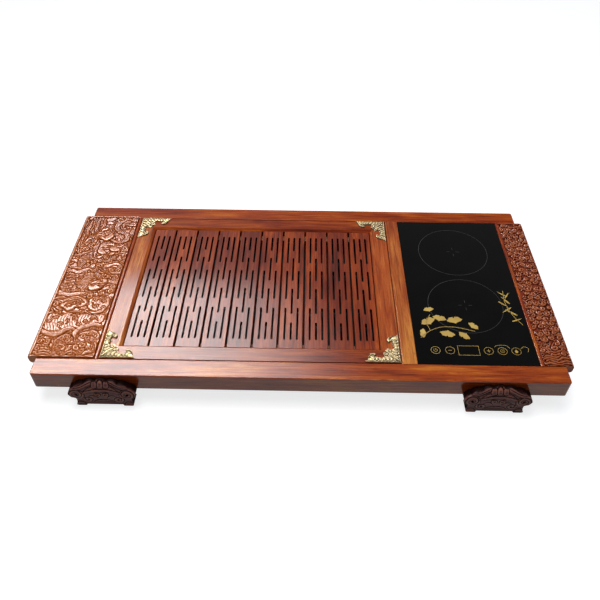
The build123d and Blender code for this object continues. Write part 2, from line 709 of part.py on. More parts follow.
strainer = rod(drain_x, 0, flange_top, flange_top + strainer_thickness, spigot_flange_radius)
strainer_slot = Pos((strainer_slot_inner + strainer_slot_outer) / 2, 0, 0) * SlotOverall(
    strainer_slot_outer - strainer_slot_inner, strainer_slot_width)
strainer_slot = extrude(strainer_slot, amount=strainer_thickness)
for turn in range(strainer_slot_count):
    strainer -= Pos(drain_x, 0, flange_top) * Rot(0, 0, 360 / strainer_slot_count * turn) * strainer_slot
save("drain_strainer", strainer)

# ---------------------------------------------------------------- drain grid
grid_x0 = x_grid + grid_clearance
grid_x1 = x_stile - grid_clearance
grid_y = y_bay - grid_clearance
inner_x0 = grid_x0 + grid_frame_width
inner_x1 = grid_x1 - grid_frame_width
inner_y = grid_y - grid_frame_width
slat_top = grid_top - grid_bevel_drop
slat_bottom = slat_top - slat_thickness
tongue_z = (slat_top + slat_bottom) / 2


def frame_section(outer, inner):
    """(offset, z) outline of a grid frame member, flat on top with a bevel down to the slats."""
    step = grid_bevel_width if inner > outer else -grid_bevel_width
    return [(outer, grid_bottom), (inner, grid_bottom), (inner, slat_top),
            (inner - step, grid_top), (outer, grid_top)]


groove_half = slat_tongue_thickness / 2 + slat_tongue_clearance
frame_front = bar_along_x(frame_section(-grid_y, -inner_y), grid_x0, grid_x1)
frame_front -= block(inner_x0, inner_x1, -inner_y - slat_tongue_length - slat_end_gap, -inner_y,
                     tongue_z - groove_half, tongue_z + groove_half)
frame_front &= plate([(grid_x0, -grid_y), (grid_x1, -grid_y), (inner_x1, -inner_y), (inner_x0, -inner_y)],
                     grid_bottom, grid_top)
frame_left = bar_along_y(frame_section(grid_x0, inner_x0), -grid_y, grid_y)
frame_left &= plate([(grid_x0, -grid_y), (inner_x0, -inner_y), (inner_x0, inner_y), (grid_x0, grid_y)],
                    grid_bottom, grid_top)
frame_right = bar_along_y(frame_section(grid_x1, inner_x1), -grid_y, grid_y)
frame_right &= plate([(grid_x1, -grid_y), (inner_x1, -inner_y), (inner_x1, inner_y), (grid_x1, grid_y)],
                     grid_bottom, grid_top)

# ---------------------------------------------------------------- brass corners and their pins
def on_legs(along, across):
    """A point given beside the x leg, and its partner beside the y leg."""
    longer = corner_leg_y / corner_leg_x
    return (along, across), (across * longer, along * longer)


def corner_plate():
    """The brass of the front left corner, with its outer corner at the origin."""
    x_side, y_side = zip(*[on_legs(along, across) for along, across in corner_outline])
    face = make_face(Polyline((0, 0), *x_side, *reversed(y_side), close=True))
    face = fillet([point for point in face.vertices() if point.X and point.Y], corner_round)
    return extrude(face, amount=corner_thickness)


def corner_pins(grow=0.0):
    """The pins of that corner, or their bores."""
    pins = []
    places = [point for place in corner_pin_places for point in on_legs(*place)]
    for u, v in places + [(corner_middle_pin, corner_middle_pin)]:
        pin = rod(u, v, corner_thickness - pin_length, corner_thickness, pin_shank + grow)
        if not grow:
            pin += rod(u, v, corner_thickness, corner_thickness + pin_head_height, pin_head)
        pins.append(pin)
    return pins


corner_place = Pos(grid_x0 + corner_margin, -grid_y + corner_margin, grid_top)
front_left_plate = corner_place * corner_plate()
front_left_pins = [corner_place * pin for pin in corner_pins()]
front_left_bores = [corner_place * pin for pin in corner_pins(screw_clearance)]
for bore in front_left_bores:
    front_left_plate -= bore
grid_middle = Plane.YZ.offset((grid_x0 + grid_x1) / 2)
for bore in front_left_bores:
    frame_left -= bore
    frame_left -= rear(bore)
    frame_right -= mirror(bore, about=grid_middle)
    frame_right -= rear(mirror(bore, about=grid_middle))
    frame_front -= bore
    frame_front -= mirror(bore, about=grid_middle)
front_right_plate = mirror(front_left_plate, about=grid_middle)
save("corner_front_left", front_left_plate)
save("corner_front_right", front_right_plate)
save("corner_rear_left", rear(front_left_plate))
save("corner_rear_right", rear(front_right_plate))
front_pins = front_left_pins + [mirror(pin, about=grid_middle) for pin in front_left_pins]
save("corner_pins", front_pins + [rear(pin) for pin in front_pins])
save("grid_rail_front", frame_front)
save("grid_rail_rear", rear(frame_front))
save("grid_stile_left", frame_left)
save("grid_stile_right", frame_right)

# ---------------------------------------------------------------- slats and battens
slat_pitch = (inner_x1 - inner_x0) / slat_count
slat_width = slat_pitch - slat_gap


def slat():
    """One drain board, its left edge at x = 0, with three columns of slots and a tongue at each end."""
    y_end = inner_y - slat_end_gap
    board = block(0, slat_width, -y_end, y_end, slat_bottom, slat_top)
    board = chamfer(board.edges().filter_by(Axis.Y).group_by(Axis.Z)[-1], slat_chamfer)
    board += block(0, slat_width, -inner_y - slat_tongue_length, inner_y + slat_tongue_length,
                   tongue_z - slat_tongue_thickness / 2, tongue_z + slat_tongue_thickness / 2)
    quarter = slat_pitch / 4
    middle = slat_width / 2
    slots = [(middle + side * quarter, row * slot_outer_spacing, slot_outer_length)
             for side in (-1, 1) for row in (-1, 0, 1)]
    long_y = (slot_middle_long + slot_middle_web) / 2
    short_y = slot_middle_long + 1.5 * slot_middle_web + slot_middle_short / 2
    slots += [(middle, side * long_y, slot_middle_long) for side in (-1, 1)]
    slots += [(middle, side * short_y, slot_middle_short) for side in (-1, 1)]
    for x, y, length in slots:
        cut = extrude(SlotOverall(length, slot_width, rotation=90), amount=slat_thickness)
        board -= Pos(x, y, slat_bottom) * cut
    return board


one_slat = slat()
for index in range(slat_count):
    x = inner_x0 + slat_gap / 2 + index * slat_pitch
    save(f"slat_{index + 1:02d}", Pos(x, 0, 0) * one_slat)

batten_front = block(inner_x0 + batten_inset, inner_x1 - batten_inset, -inner_y + batten_inset,
                     -inner_y + batten_inset + batten_width, slat_bottom - batten_thickness, slat_bottom)
save("grid_batten_front", batten_front)
save("grid_batten_rear", rear(batten_front))

# ---------------------------------------------------------------- hob: glass and tub
glass = rounded_block(x_hob + hob_clearance, x_end_bar - hob_clearance, -y_bay + hob_clearance,
                      y_bay - hob_clearance, glass_bottom, glass_top, glass_corner_round)
glass = chamfer(glass.edges().group_by(Axis.Z)[-1], glass_edge_chamfer)
save("hob_glass", glass)

tub_x0 = x_hob + ledge_width + tub_gap
tub_x1 = x_end_bar - ledge_width - tub_gap
tub_y = y_bay - ledge_width - tub_gap
tub_floor = tub_floor_clearance + tub_wall
touch_y = -y_bay + hob_clearance + key_row_inset
touch_y0 = touch_y - touch_board_depth / 2
touch_y1 = touch_y + touch_board_depth / 2
tub_rear = tub_y - tub_wall
spare_depth = tub_rear - touch_y1 - 4 * carrier_radius
carrier_gap = spare_depth * (1 - carrier_front_share) / 2
coil_front_y = touch_y1 + spare_depth * carrier_front_share + carrier_radius
coil_rear_y = tub_rear - carrier_gap - carrier_radius
carrier_top = glass_bottom - coil_air_gap - coil_thickness
carrier_bottom = carrier_top - carrier_thickness
coil_places = (coil_front_y, coil_rear_y)
fan_x = hob_x
fan_y = coil_front_y + fan_offset_y
gland_y = tub_y - gland_inset


def post_places(coil_y):
    """Where the posts of one coil carrier stand."""
    turns = [90 + 360 / post_count * i + (180 if coil_y < 0 else 0) for i in range(post_count)]
    return [(hob_x + post_circle * cos(radians(t)), coil_y + post_circle * sin(radians(t))) for t in turns]


touch_top = glass_bottom - touch_board_gap
touch_bottom = touch_top - board_thickness
touch_x0 = hob_x - touch_board_width / 2
touch_x1 = hob_x + touch_board_width / 2
touch_posts = [(x, y) for x in (touch_x0 + touch_post_inset, touch_x1 - touch_post_inset)
               for y in (touch_y, touch_y1 - board_post_radius)]
board_x0 = hob_x - board_width / 2
board_x1 = board_x0 + board_width
board_y0 = coil_rear_y - board_depth / 2 - board_offset
board_bottom = tub_floor + board_standoff
board_posts = [(x, y) for x in (board_x0 + board_post_inset, board_x1 - board_post_inset)
               for y in (board_y0 + 2 * board_post_inset, board_y0 + board_depth - board_post_inset)]

tub = rounded_block(tub_x0, tub_x1, -tub_y, tub_y, tub_floor_clearance, glass_bottom, tub_corner_round)
tub -= rounded_block(tub_x0 + tub_wall, tub_x1 - tub_wall, -tub_y + tub_wall, tub_y - tub_wall,
                     tub_floor, glass_bottom, tub_corner_round - tub_wall)
tub = chamfer(tub.edges().group_by(Axis.Z)[0], tub_chamfer)


def tub_screws(grow=0.0):
    """The screws that hold the coil carriers to their posts, or their bores."""
    one = screw(tub_screw_shank, tub_screw_head, tub_screw_length, grow)
    return [Pos(x, y, carrier_top) * one for coil_y in coil_places for x, y in post_places(coil_y)]


def vent_rows(x, y, radius):
    """Parallel slots that fill a circle."""
    rows = int((radius - vent_width) // vent_pitch)
    return [Pos(x, y + row * vent_pitch, tub_floor_clearance) * extrude(
        SlotOverall(2 * sqrt(radius ** 2 - (row * vent_pitch) ** 2), vent_width), amount=tub_wall)
        for row in range(-rows, rows + 1)]


for cut in vent_rows(fan_x, fan_y, fan_bore_radius - tub_wall):
    tub -= cut
for row in range(side_vent_count):
    vent_y = -tub_y + side_vent_start + row * 2 * vent_pitch
    tub -= block(tub_x1 - side_vent_inset - side_vent_length, tub_x1 - side_vent_inset,
                 vent_y, vent_y + vent_width, tub_floor_clearance, tub_floor)
tub -= rod(hob_x + gland_x, gland_y, tub_floor_clearance, tub_floor, gland_radius + ring_clearance)
save("hob_tub", tub)
save("hob_screws", tub_screws())

# Nylon posts on the floor of the tub: three under each coil carrier, four under each board
carrier_posts = [rod(x, y, tub_floor, carrier_bottom, post_radius)
                 for coil_y in coil_places for x, y in post_places(coil_y)]
carrier_posts = [post - bore for post, bore in zip(carrier_posts, tub_screws(screw_clearance))]
save("tub_posts", carrier_posts
     + [rod(x, y, tub_floor, touch_bottom, board_post_radius) for x, y in touch_posts]
     + [rod(x, y, tub_floor, board_bottom, board_post_radius) for x, y in board_posts])

gland_nut_top = tub_floor + gland_flange_thickness
gland = rod(0, 0, tub_floor_clearance - gland_length, gland_nut_top, gland_radius)
gland += rod(0, 0, tub_floor_clearance - gland_flange_thickness, tub_floor_clearance, gland_flange_radius)
gland += rod(0, 0, tub_floor, gland_nut_top, gland_flange_radius)
gland -= rod(0, 0, tub_floor_clearance - gland_length, gland_nut_top, gland_bore_radius)
save("cord_gland", Pos(hob_x + gland_x, gland_y, 0) * gland)

# ---------------------------------------------------------------- hob: coils, carriers, ferrites
carriers = []
coils = []
ferrites = []
for coil_y in coil_places:
    carrier = rod(hob_x, coil_y, carrier_bottom, carrier_top, carrier_radius)
    carrier -= rod(hob_x, coil_y, carrier_bottom, carrier_top, carrier_bore_radius)
    for bore in tub_screws(screw_clearance):
        carrier -= bore
    carriers.append(carrier)
    coil = rod(hob_x, coil_y, carrier_top, carrier_top + coil_thickness, coil_outer_radius)
    coils.append(coil - rod(hob_x, coil_y, carrier_top, carrier_top + coil_thickness, coil_inner_radius))
    ferrite = block(ferrite_inner_radius, ferrite_inner_radius + ferrite_length, -ferrite_width / 2,
                    ferrite_width / 2, carrier_bottom - ferrite_thickness, carrier_bottom)
    for turn in range(ferrite_count):
        ferrites.append(Pos(hob_x, coil_y, 0) * Rot(0, 0, 360 / ferrite_count * turn) * ferrite)
save("coil_carriers", carriers)
save("coils", coils)
save("ferrite_bars", ferrites)

# ---------------------------------------------------------------- hob: boards
power_board = block(board_x0, board_x1, board_y0, board_y0 + board_depth,
                    board_bottom, board_bottom + board_thickness)
for x, y in post_places(coil_rear_y):
    power_board -= rod(x, y, board_bottom, board_bottom + board_thickness,
                       post_radius + board_post_clearance)
save("power_board", power_board)
board_top = board_bottom + board_thickness
sink_x0 = hob_x - sink_width - sink_gap
sink_y0 = coil_rear_y - sink_depth / 2
heat_sink = block(sink_x0, sink_x0 + sink_width, sink_y0, sink_y0 + sink_depth, board_top,
                  board_top + sink_base)
fin_pitch = (sink_width - sink_fin_thickness) / (sink_fin_count - 1)
for index in range(sink_fin_count):
    fin_x = sink_x0 + index * fin_pitch
    heat_sink += block(fin_x, fin_x + sink_fin_thickness, sink_y0, sink_y0 + sink_depth, board_top,
                       board_top + sink_height)
save("heat_sink", heat_sink)
save("filter_capacitors", [
    rod(board_x1 - capacitor_inset - column * capacitor_pitch_x,
        coil_rear_y + capacitor_y + row * capacitor_pitch_y,
        board_top, board_top + capacitor_height, capacitor_radius)
    for column in range(2) for row in range(2)])

touch_board = block(touch_x0, touch_x1, touch_y0, touch_y1, touch_bottom, touch_top)
touch_board += block(hob_x + display_x - display_width / 2, hob_x + display_x + display_width / 2,
                     touch_y - display_depth / 2, touch_y + display_depth / 2, touch_top, glass_bottom)
save("touch_board", touch_board)

# ---------------------------------------------------------------- hob: cooling fan
fan_top = tub_floor + fan_height
hub_floor = tub_floor + fan_strut_height
fan_frame = rounded_block(fan_x - fan_side / 2, fan_x + fan_side / 2, fan_y - fan_side / 2,
                          fan_y + fan_side / 2, tub_floor, fan_top, fan_corner_round)
fan_frame -= rod(fan_x, fan_y, tub_floor, fan_top, fan_bore_radius)
fan_frame += rod(fan_x, fan_y, tub_floor, hub_floor, fan_hub_radius)
strut = block(fan_hub_radius - fan_root, fan_bore_radius + fan_root, -fan_strut_width / 2,
              fan_strut_width / 2, tub_floor, hub_floor - fan_gap)
for turn in range(fan_strut_count):
    fan_frame += Pos(fan_x, fan_y, 0) * Rot(0, 0, 30 + 360 / fan_strut_count * turn) * strut
fan_frame -= rod(fan_x, fan_y, tub_floor + fan_gap, hub_floor, fan_shaft_radius + fan_shaft_clearance)
save("fan_frame", fan_frame)

rotor_bottom = hub_floor + fan_gap
rotor_top = fan_top - fan_gap
rotor = rod(fan_x, fan_y, rotor_bottom, rotor_top, fan_hub_radius)
rotor = fillet(rotor.edges().group_by(Axis.Z)[-1], fan_hub_round)
rotor += rod(fan_x, fan_y, tub_floor + fan_gap, rotor_bottom, fan_shaft_radius)
blade_rise = rotor_top - rotor_bottom - fan_hub_round
blade = Box(fan_blade_radius - fan_hub_radius + fan_root, blade_rise / sin(radians(fan_blade_pitch)),
            fan_blade_thickness, align=(Align.MIN, Align.CENTER, Align.CENTER))
blade = Rot(fan_blade_pitch, 0, 0) * blade
blade = Pos(fan_hub_radius - fan_root, 0, (rotor_bottom + rotor_top) / 2) * blade
sweep_limit = rod(0, 0, rotor_bottom, rotor_top, fan_blade_radius)
for index in range(fan_blade_count):
    rotor += Pos(fan_x, fan_y, 0) * Rot(0, 0, 360 / fan_blade_count * index) * (blade & sweep_limit)
save("fan_rotor", rotor)
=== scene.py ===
import math

import bmesh
import bpy
import numpy as np
from mathutils import Matrix, Vector


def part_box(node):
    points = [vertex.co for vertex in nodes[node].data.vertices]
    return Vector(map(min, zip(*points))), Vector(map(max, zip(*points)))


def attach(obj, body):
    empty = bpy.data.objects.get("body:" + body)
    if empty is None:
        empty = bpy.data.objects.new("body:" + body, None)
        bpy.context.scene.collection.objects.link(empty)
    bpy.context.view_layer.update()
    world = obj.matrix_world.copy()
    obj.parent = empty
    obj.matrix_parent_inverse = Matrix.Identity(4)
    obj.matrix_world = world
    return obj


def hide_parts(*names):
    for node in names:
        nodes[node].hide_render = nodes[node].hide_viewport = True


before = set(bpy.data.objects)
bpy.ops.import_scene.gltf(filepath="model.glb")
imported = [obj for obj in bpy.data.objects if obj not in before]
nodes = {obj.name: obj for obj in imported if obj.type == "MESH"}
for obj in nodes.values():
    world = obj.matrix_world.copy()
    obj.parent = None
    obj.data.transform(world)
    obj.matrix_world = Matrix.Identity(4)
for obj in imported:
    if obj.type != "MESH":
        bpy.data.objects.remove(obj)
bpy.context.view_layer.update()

MM = 0.001

# ---------------- room and camera
# A pale studio: a white floor and a white surround. One large lamp hangs over the table. A card of light
# behind it is what the lacquered tops throw back to the viewer; it fades to the right and to the back.
FLOOR_HALF = 6.0
FLOOR_GAP = 0.0003          # the floor lies this far under the feet, so that no faces share a plane
FLOOR_SEEN = 0.42           # the white of the floor as seen, directly or mirrored,
FLOOR_GLOW = 0.76           # and what is added to it, so that only the shadow falls below white
FLOOR_BOUNCE = 0.40         # what the floor gives back to the object
WORLD_LIGHT = 0.28
WORLD_TINT = (0.75, 0.87, 1.0, 1.0)     # of the light that it sheds; it is seen as white
OVERHEAD_WATTS = 39
OVERHEAD_PLACE = (-0.25, 0.30, 2.0)
OVERHEAD_TARGET = (0.0, 0.0, 0.06)
OVERHEAD_SIZE = (1.5, 1.1)
CARD_X = (-2.3, 0.8)        # the card of light hangs level
CARD_Y = (1.15, 2.85)
CARD_HEIGHT = 2.4
CARD_WATTS = 1080           # if all of it were at full strength
CARD_SLANT = 0.4            # how fast its fading right edge runs to the left, going back
CARD_FADE = (-0.35, 1.15)   # x + CARD_SLANT * y where it starts to fade and where it is dark
CARD_END = (2.2, 2.62)      # y where its back edge starts to fade and where it is dark
CAMERA_PLACE = (0.0087, -0.8158, 0.8450)
CAMERA_LENS = 36.81         # mm, on a 36 mm sensor
PITCH, YAW, ROLL = 45.41, -0.83, 0.33   # degrees: down, to the right, anticlockwise


def srgb(code):
    """A hex colour as linear RGBA."""
    parts = [int(code[i:i + 2], 16) / 255 for i in (1, 3, 5)]
    return tuple(p / 12.92 if p <= 0.04045 else ((p + 0.055) / 1.055) ** 2.4 for p in parts) + (1.0,)


def add_node(tree, kind, inputs=(), output=None, tones=(), **settings):
    """Add a shader node of a kind and return its named output, or its first.

    The inputs are values or other nodes' outputs, by name or in the node's own order. The tones are the
    stops of a colour ramp, each a position and a hex colour."""
    made = tree.nodes.new("ShaderNode" + kind)
    for key, value in settings.items():
        setattr(made, key, value)
    while tones and len(made.color_ramp.elements) < len(tones):
        made.color_ramp.elements.new(0.5)
    for number, (position, code) in enumerate(tones):
        made.color_ramp.elements[number].position = position
        made.color_ramp.elements[number].color = srgb(code)
    if not isinstance(inputs, dict):
        inputs = dict(zip([i for i, socket in enumerate(made.inputs) if socket.enabled], inputs))
    for key, value in inputs.items():
        if isinstance(value, bpy.types.NodeSocket):
            tree.links.new(value, made.inputs[key])
        else:
            made.inputs[key].default_value = value
    return made.outputs[output] if output else next((socket for socket in made.outputs if socket.enabled), None)


def new_material(name):
    """An empty material and its node tree."""
    made = bpy.data.materials.new(name)
    made.use_nodes = True
    made.node_tree.nodes.clear()
    return made, made.node_tree


def surface(tree, **inputs):
    """End a material with its Principled shader, whose inputs are values or other nodes' outputs."""
    shader = add_node(tree, "BsdfPrincipled", {key.replace("_", " "): inputs[key] for key in inputs})
    add_node(tree, "OutputMaterial", {"Surface": shader})


def mesh_piece(name, shape, material=None, smooth_angle=None):
    """An object at the origin from a bmesh, which is then freed."""
    mesh = bpy.data.meshes.new(name)
    shape.to_mesh(mesh)
    shape.free()
    piece = bpy.data.objects.new(name, mesh)
    bpy.context.scene.collection.objects.link(piece)
    if material:
        mesh.materials.append(material)
    if smooth_angle is not None:
        mesh.shade_smooth()
        mesh.set_sharp_from_angle(angle=math.radians(smooth_angle))
    return piece


def seen_or_mirrored(tree):
    """1 for rays that show a surface to the viewer, directly or in metal or glass, else 0."""
    rays = add_node(tree, "LightPath").node.outputs
    either = add_node(tree, "Math", (rays["Is Camera Ray"], rays["Is Glossy Ray"]))
    return add_node(tree, "Math", (either, rays["Is Transmission Ray"]), use_clamp=True)


floor_shape = bmesh.new()
bmesh.ops.create_grid(floor_shape, x_segments=1, y_segments=1, size=FLOOR_HALF)
bmesh.ops.translate(floor_shape, verts=floor_shape.verts, vec=(0, 0, -FLOOR_GAP))
floor_paint, floor_tree = new_material("white studio floor")
floor_is_seen = seen_or_mirrored(floor_tree)
surface(floor_tree, Roughness=0.9, Specular_IOR_Level=0.0, Emission_Color=(1, 1, 1, 1),
        Base_Color=add_node(floor_tree, "Mix", (floor_is_seen, FLOOR_BOUNCE, FLOOR_SEEN)),
        Emission_Strength=add_node(floor_tree, "Math", (floor_is_seen, FLOOR_GLOW), operation="MULTIPLY"))
mesh_piece("studio_floor", floor_shape, floor_paint)

world = bpy.data.worlds.new("studio")
bpy.context.scene.world = world
world.use_nodes = True
sky = world.node_tree
sky.nodes.clear()
sky_level = add_node(sky, "Mix", (seen_or_mirrored(sky), WORLD_LIGHT, 1.0))
sky_tone = add_node(sky, "Mix", (seen_or_mirrored(sky), WORLD_TINT, (1, 1, 1, 1)), data_type="RGBA")
surround = add_node(sky, "Background", {"Color": sky_tone, "Strength": sky_level})
add_node(sky, "OutputWorld", {"Surface": surround})


def soft_box(name, place, target, width, depth, watts):
    """A rectangular soft box aimed at a point."""
    lamp = bpy.data.lights.new(name, "AREA")
    lamp.shape = "RECTANGLE"
    lamp.size, lamp.size_y = width, depth
    lamp.energy = watts
    holder = bpy.data.objects.new(name, lamp)
    holder.location = place
    holder.rotation_mode = "QUATERNION"
    holder.rotation_quaternion = (Vector(target) - Vector(place)).to_track_quat("-Z", "Y")
    bpy.context.scene.collection.objects.link(holder)
    return holder


soft_box("overhead_lamp", OVERHEAD_PLACE, OVERHEAD_TARGET, *OVERHEAD_SIZE, OVERHEAD_WATTS)
card_middle = (sum(CARD_X) / 2, sum(CARD_Y) / 2)
card = soft_box("gloss_card", (*card_middle, CARD_HEIGHT), (*card_middle, 0.0), CARD_X[1] - CARD_X[0],
                CARD_Y[1] - CARD_Y[0], CARD_WATTS)
card.visible_diffuse = False
card.data.use_nodes = True
card_tree = card.data.node_tree
card_tree.nodes.clear()
card_place = add_node(card_tree, "TexCoord", output="Object")


def card_fade(direction, limits):
    """1 before the first limit and 0 past the second, measured along a direction over the card."""
    run = add_node(card_tree, "VectorMath", (card_place, (*direction, 0)), operation="DOT_PRODUCT")
    start = direction[0] * card_middle[0] + direction[1] * card_middle[1]
    return add_node(card_tree, "MapRange", (run, limits[0] - start, limits[1] - start, 1.0, 0.0),
                    interpolation_type="SMOOTHSTEP")


card_level = add_node(card_tree, "Math", (card_fade((1, CARD_SLANT), CARD_FADE), card_fade((0, 1), CARD_END)),
                      operation="MULTIPLY")
card_light = add_node(card_tree, "Emission", {"Strength": card_level})
add_node(card_tree, "OutputLight", {"Surface": card_light})

camera_data = bpy.data.cameras.new("camera")
camera_data.sensor_width = 36.0
camera_data.lens = CAMERA_LENS
camera = bpy.data.objects.new("camera", camera_data)
camera.matrix_world = (Matrix.Translation(CAMERA_PLACE)
                       @ Matrix.Rotation(math.radians(-YAW), 4, "Z")
                       @ Matrix.Rotation(math.radians(90 - PITCH), 4, "X")
                       @ Matrix.Rotation(math.radians(ROLL), 4, "Z"))
bpy.context.scene.collection.objects.link(camera)
bpy.context.scene.camera = camera
bpy.context.scene.view_settings.view_transform = "Standard"

# ---------------- rails
# Two long rosewood rails, planed, eased on the top edges and finished in a clear gloss lacquer.
# They are solid stock, so the grain runs along them, and they end in plain end grain.
GRAIN_LENGTH = 160 * MM     # the longest streaks; the lacquered stock shows shorter ones too
GRAIN_WIDTH = 6 * MM        # between two streaks on a flat-sawn face
LINE_LENGTH = 90 * MM       # dark vessel lines, drawn as coarse as they need to show
LINE_WIDTH = 2.2 * MM
PORE_LENGTH = 9 * MM
PORE_WIDTH = 0.9 * MM       # real pores are finer; drawn as coarse as shows
PORE_DEPTH = 0.5 * MM
LINE_LIMITS = (0.52, 0.72)  # levels of the noise between which a vessel line grows to its full ink,
PORE_LIMITS = (0.58, 0.72)  # and a pore
FACE_LIMITS = (0.3, 0.7)    # how level a face is where the sides' coat and painted shade give way to the tops'
LINE_AND_SHADE_INK = "#2e0c05"
RAIL_TONES = ((0.32, "#4f1506"), (0.43, "#802b08"), (0.53, "#983d0b"), (0.63, "#b45c15"), (0.74, "#782807"))
FRONT_TONES = ((0.32, "#561907"), (0.43, "#8a330b"), (0.53, "#a54812"), (0.63, "#c06c20"), (0.74, "#8c3a12"))
RAIL_SIDES = (0.64, 0.42)   # the rails' upright faces carry painted shade, darker than their tops, and are more heavily lacquered


def grain_noise(tree, along, length, width, shift, **noise):
    """Noise on Object coordinates, stretched along one axis of the stock."""
    scale = tuple(1 / length if axis == along else 1 / width for axis in "XYZ")
    place = add_node(tree, "TexCoord", output="Object")
    drawn = add_node(tree, "Mapping", {"Vector": place, "Location": shift, "Scale": scale})
    return add_node(tree, "TexNoise", {
        "Vector": drawn, "Scale": 1.0, **{key.title(): value for key, value in noise.items()}})


def rosewood(name, along, tones, shift=(0.0, 0.0, 0.0), coat=0.16, line=LINE_AND_SHADE_INK, sides=(0.5, 0.0), painted_front_light=0.0):
    """Lacquered rosewood: slow streaks, dark vessel lines and short pores under a glossy coat.

    sides is the coat on the upright faces, and how far painted shade darkens them towards the line colour,
    which also inks the vessel lines; the painted front light makes the stock paler towards its front end."""
    made, tree = new_material(name)
    streak = grain_noise(tree, along, 0.6 * GRAIN_LENGTH, GRAIN_WIDTH, shift, detail=5.0, roughness=0.65,
                         distortion=1.0)
    slow = grain_noise(tree, along, 0.8 * GRAIN_LENGTH, 4 * GRAIN_WIDTH, shift, detail=2.0)
    vessel = grain_noise(tree, along, LINE_LENGTH, LINE_WIDTH, shift, detail=2.0, distortion=0.3)
    pore = grain_noise(tree, along, PORE_LENGTH, PORE_WIDTH, shift, detail=1.0)
    figure = add_node(tree, "Mix", (0.42, streak, slow))
    back = add_node(tree, "SeparateXYZ", (add_node(tree, "TexCoord", output="Object"),), "Y")
    # Painted light: the figure grows paler towards the front end.
    front_lit = add_node(tree, "Math", (back, -painted_front_light, figure), operation="MULTIPLY_ADD")
    lines = add_node(tree, "Math", (
        add_node(tree, "MapRange", (vessel, *LINE_LIMITS, 0.0, 0.55)),
        add_node(tree, "MapRange", (pore, *PORE_LIMITS, 0.0, 0.4))), operation="MAXIMUM")
    normal = add_node(tree, "NewGeometry", output="Normal")
    upright = add_node(tree, "SeparateXYZ", (normal,), "Z")
    level = add_node(tree, "Math", (upright,), operation="ABSOLUTE")
    # Painted shade: the upright faces darken towards the line colour, as shade falls on the rails' faces and in the
    # slots.
    stain_and_shade = add_node(tree, "MapRange", (level, *FACE_LIMITS, sides[1], 0.0))
    depth = add_node(tree, "Math", (lines, stain_and_shade), operation="MAXIMUM")
    tone = add_node(tree, "ValToRGB", (front_lit,), tones=tones)
    surface(tree, Roughness=0.42, Specular_IOR_Level=0.018,
            Base_Color=add_node(tree, "Mix", (depth, tone, srgb(line)), data_type="RGBA"),
            Coat_Weight=add_node(tree, "MapRange", (level, *FACE_LIMITS, sides[0], coat)),
            Coat_Roughness=add_node(tree, "MapRange", (streak, 0, 1, 0.04, 0.12)),
            Normal=add_node(tree, "Bump", {"Height": pore, "Strength": 0.05, "Distance": PORE_DEPTH}))
    return made


def dress(material, *names):
    """Give CAD nodes a material."""
    for name in names:
        data = nodes[name].data
        data.materials.clear()
        data.materials.append(material)


dress(rosewood("rosewood, front rail, gloss lacquer", "X", FRONT_TONES, sides=RAIL_SIDES), "front_rail")
dress(rosewood("rosewood, rear rail, gloss lacquer", "X", RAIL_TONES, (3.1, 0.7, 0.2), coat=0.08,
               sides=RAIL_SIDES), "rear_rail")

# ---------------- bars between the rails
# The bead, the middle stile and the end bar are tenoned into the rails, so their grain runs from front
# to back. The middle stile is a lighter board than the rest.
STILE_TONES = ((0.32, "#843412"), (0.43, "#9f4b1a"), (0.53, "#b3622a"), (0.63, "#c87d35"), (0.76, "#b4622a"))
# The middle stile is paler towards its front end: painted light.
dress(rosewood("rosewood, middle stile, gloss lacquer", "Y", STILE_TONES, (0.4, 1.7, 0.3), painted_front_light=0.5),
      "middle_stile")
dress(rosewood("rosewood, end bar, gloss lacquer", "Y", RAIL_TONES, (1.4, 0.7, 2.3)), "hob_end_bar")
dress(rosewood("rosewood, bead, gloss lacquer", "Y", RAIL_TONES, (5.4, 2.7, 0.3)), "bead_bar")

# ---------------- bearers, ledges and their screws
# Planed rosewood strips that nobody sees: they are left bare, so they are paler and have no gloss. The
# bearers are tenoned into the rails, and the ledges are fixed with zinc-plated screws.
TONE_PATCH = 30 * MM        # width of a slow change of tone in a sheet or moulding
TOOTH_DEPTH = 0.3 * MM
BARE_TONES = ((0.32, "#5b2f1b"), (0.48, "#7d4a2c"), (0.60, "#96603a"), (0.75, "#6f3f25"))


def bare_wood(name, along, shift):
    """Planed, unfinished hardwood: the same figure as the lacquered wood, dull, with raised grain."""
    made, tree = new_material(name)
    streak = grain_noise(tree, along, GRAIN_LENGTH, GRAIN_WIDTH, shift, detail=4.0, roughness=0.6, distortion=0.7)
    pore = grain_noise(tree, along, PORE_LENGTH, PORE_WIDTH, shift, detail=1.0)
    surface(tree, Roughness=0.72, Specular_IOR_Level=0.3,
            Base_Color=add_node(tree, "ValToRGB", (streak,), tones=BARE_TONES),
            Normal=add_node(tree, "Bump", {"Height": pore, "Strength": 0.25, "Distance": PORE_DEPTH}))
    return made


dress(bare_wood("bare hardwood, bearers", "Y", (0.3, 0.1, 0.8)), "cross_bearer_left", "cross_bearer_right")
dress(bare_wood("bare hardwood, ledges", "X", (1.3, 0.4, 0.2)), "grid_ledge_front", "grid_ledge_rear",
      "hob_ledge_front", "hob_ledge_rear")


def plain_finish(name, tones, grit, bump, rough, **settings):
    """A moulded, plated or sheet material: a slow change of tone, and a fine tooth whose grit is in mm."""
    made, tree = new_material(name)
    place = add_node(tree, "TexCoord", output="Object")
    slow = add_node(tree, "TexNoise", (place, 1 / TONE_PATCH, 3.0))
    tooth = add_node(tree, "TexNoise", (place, 1 / (grit * MM), 2.0))
    surface(tree, Base_Color=add_node(tree, "ValToRGB", (slow,), tones=tones),
            Roughness=add_node(tree, "MapRange", (slow, 0, 1, 0.8 * rough, min(1.2 * rough, 1.0))),
            Normal=add_node(tree, "Bump", {"Height": tooth, "Strength": bump, "Distance": TOOTH_DEPTH}),
            **settings)
    return made


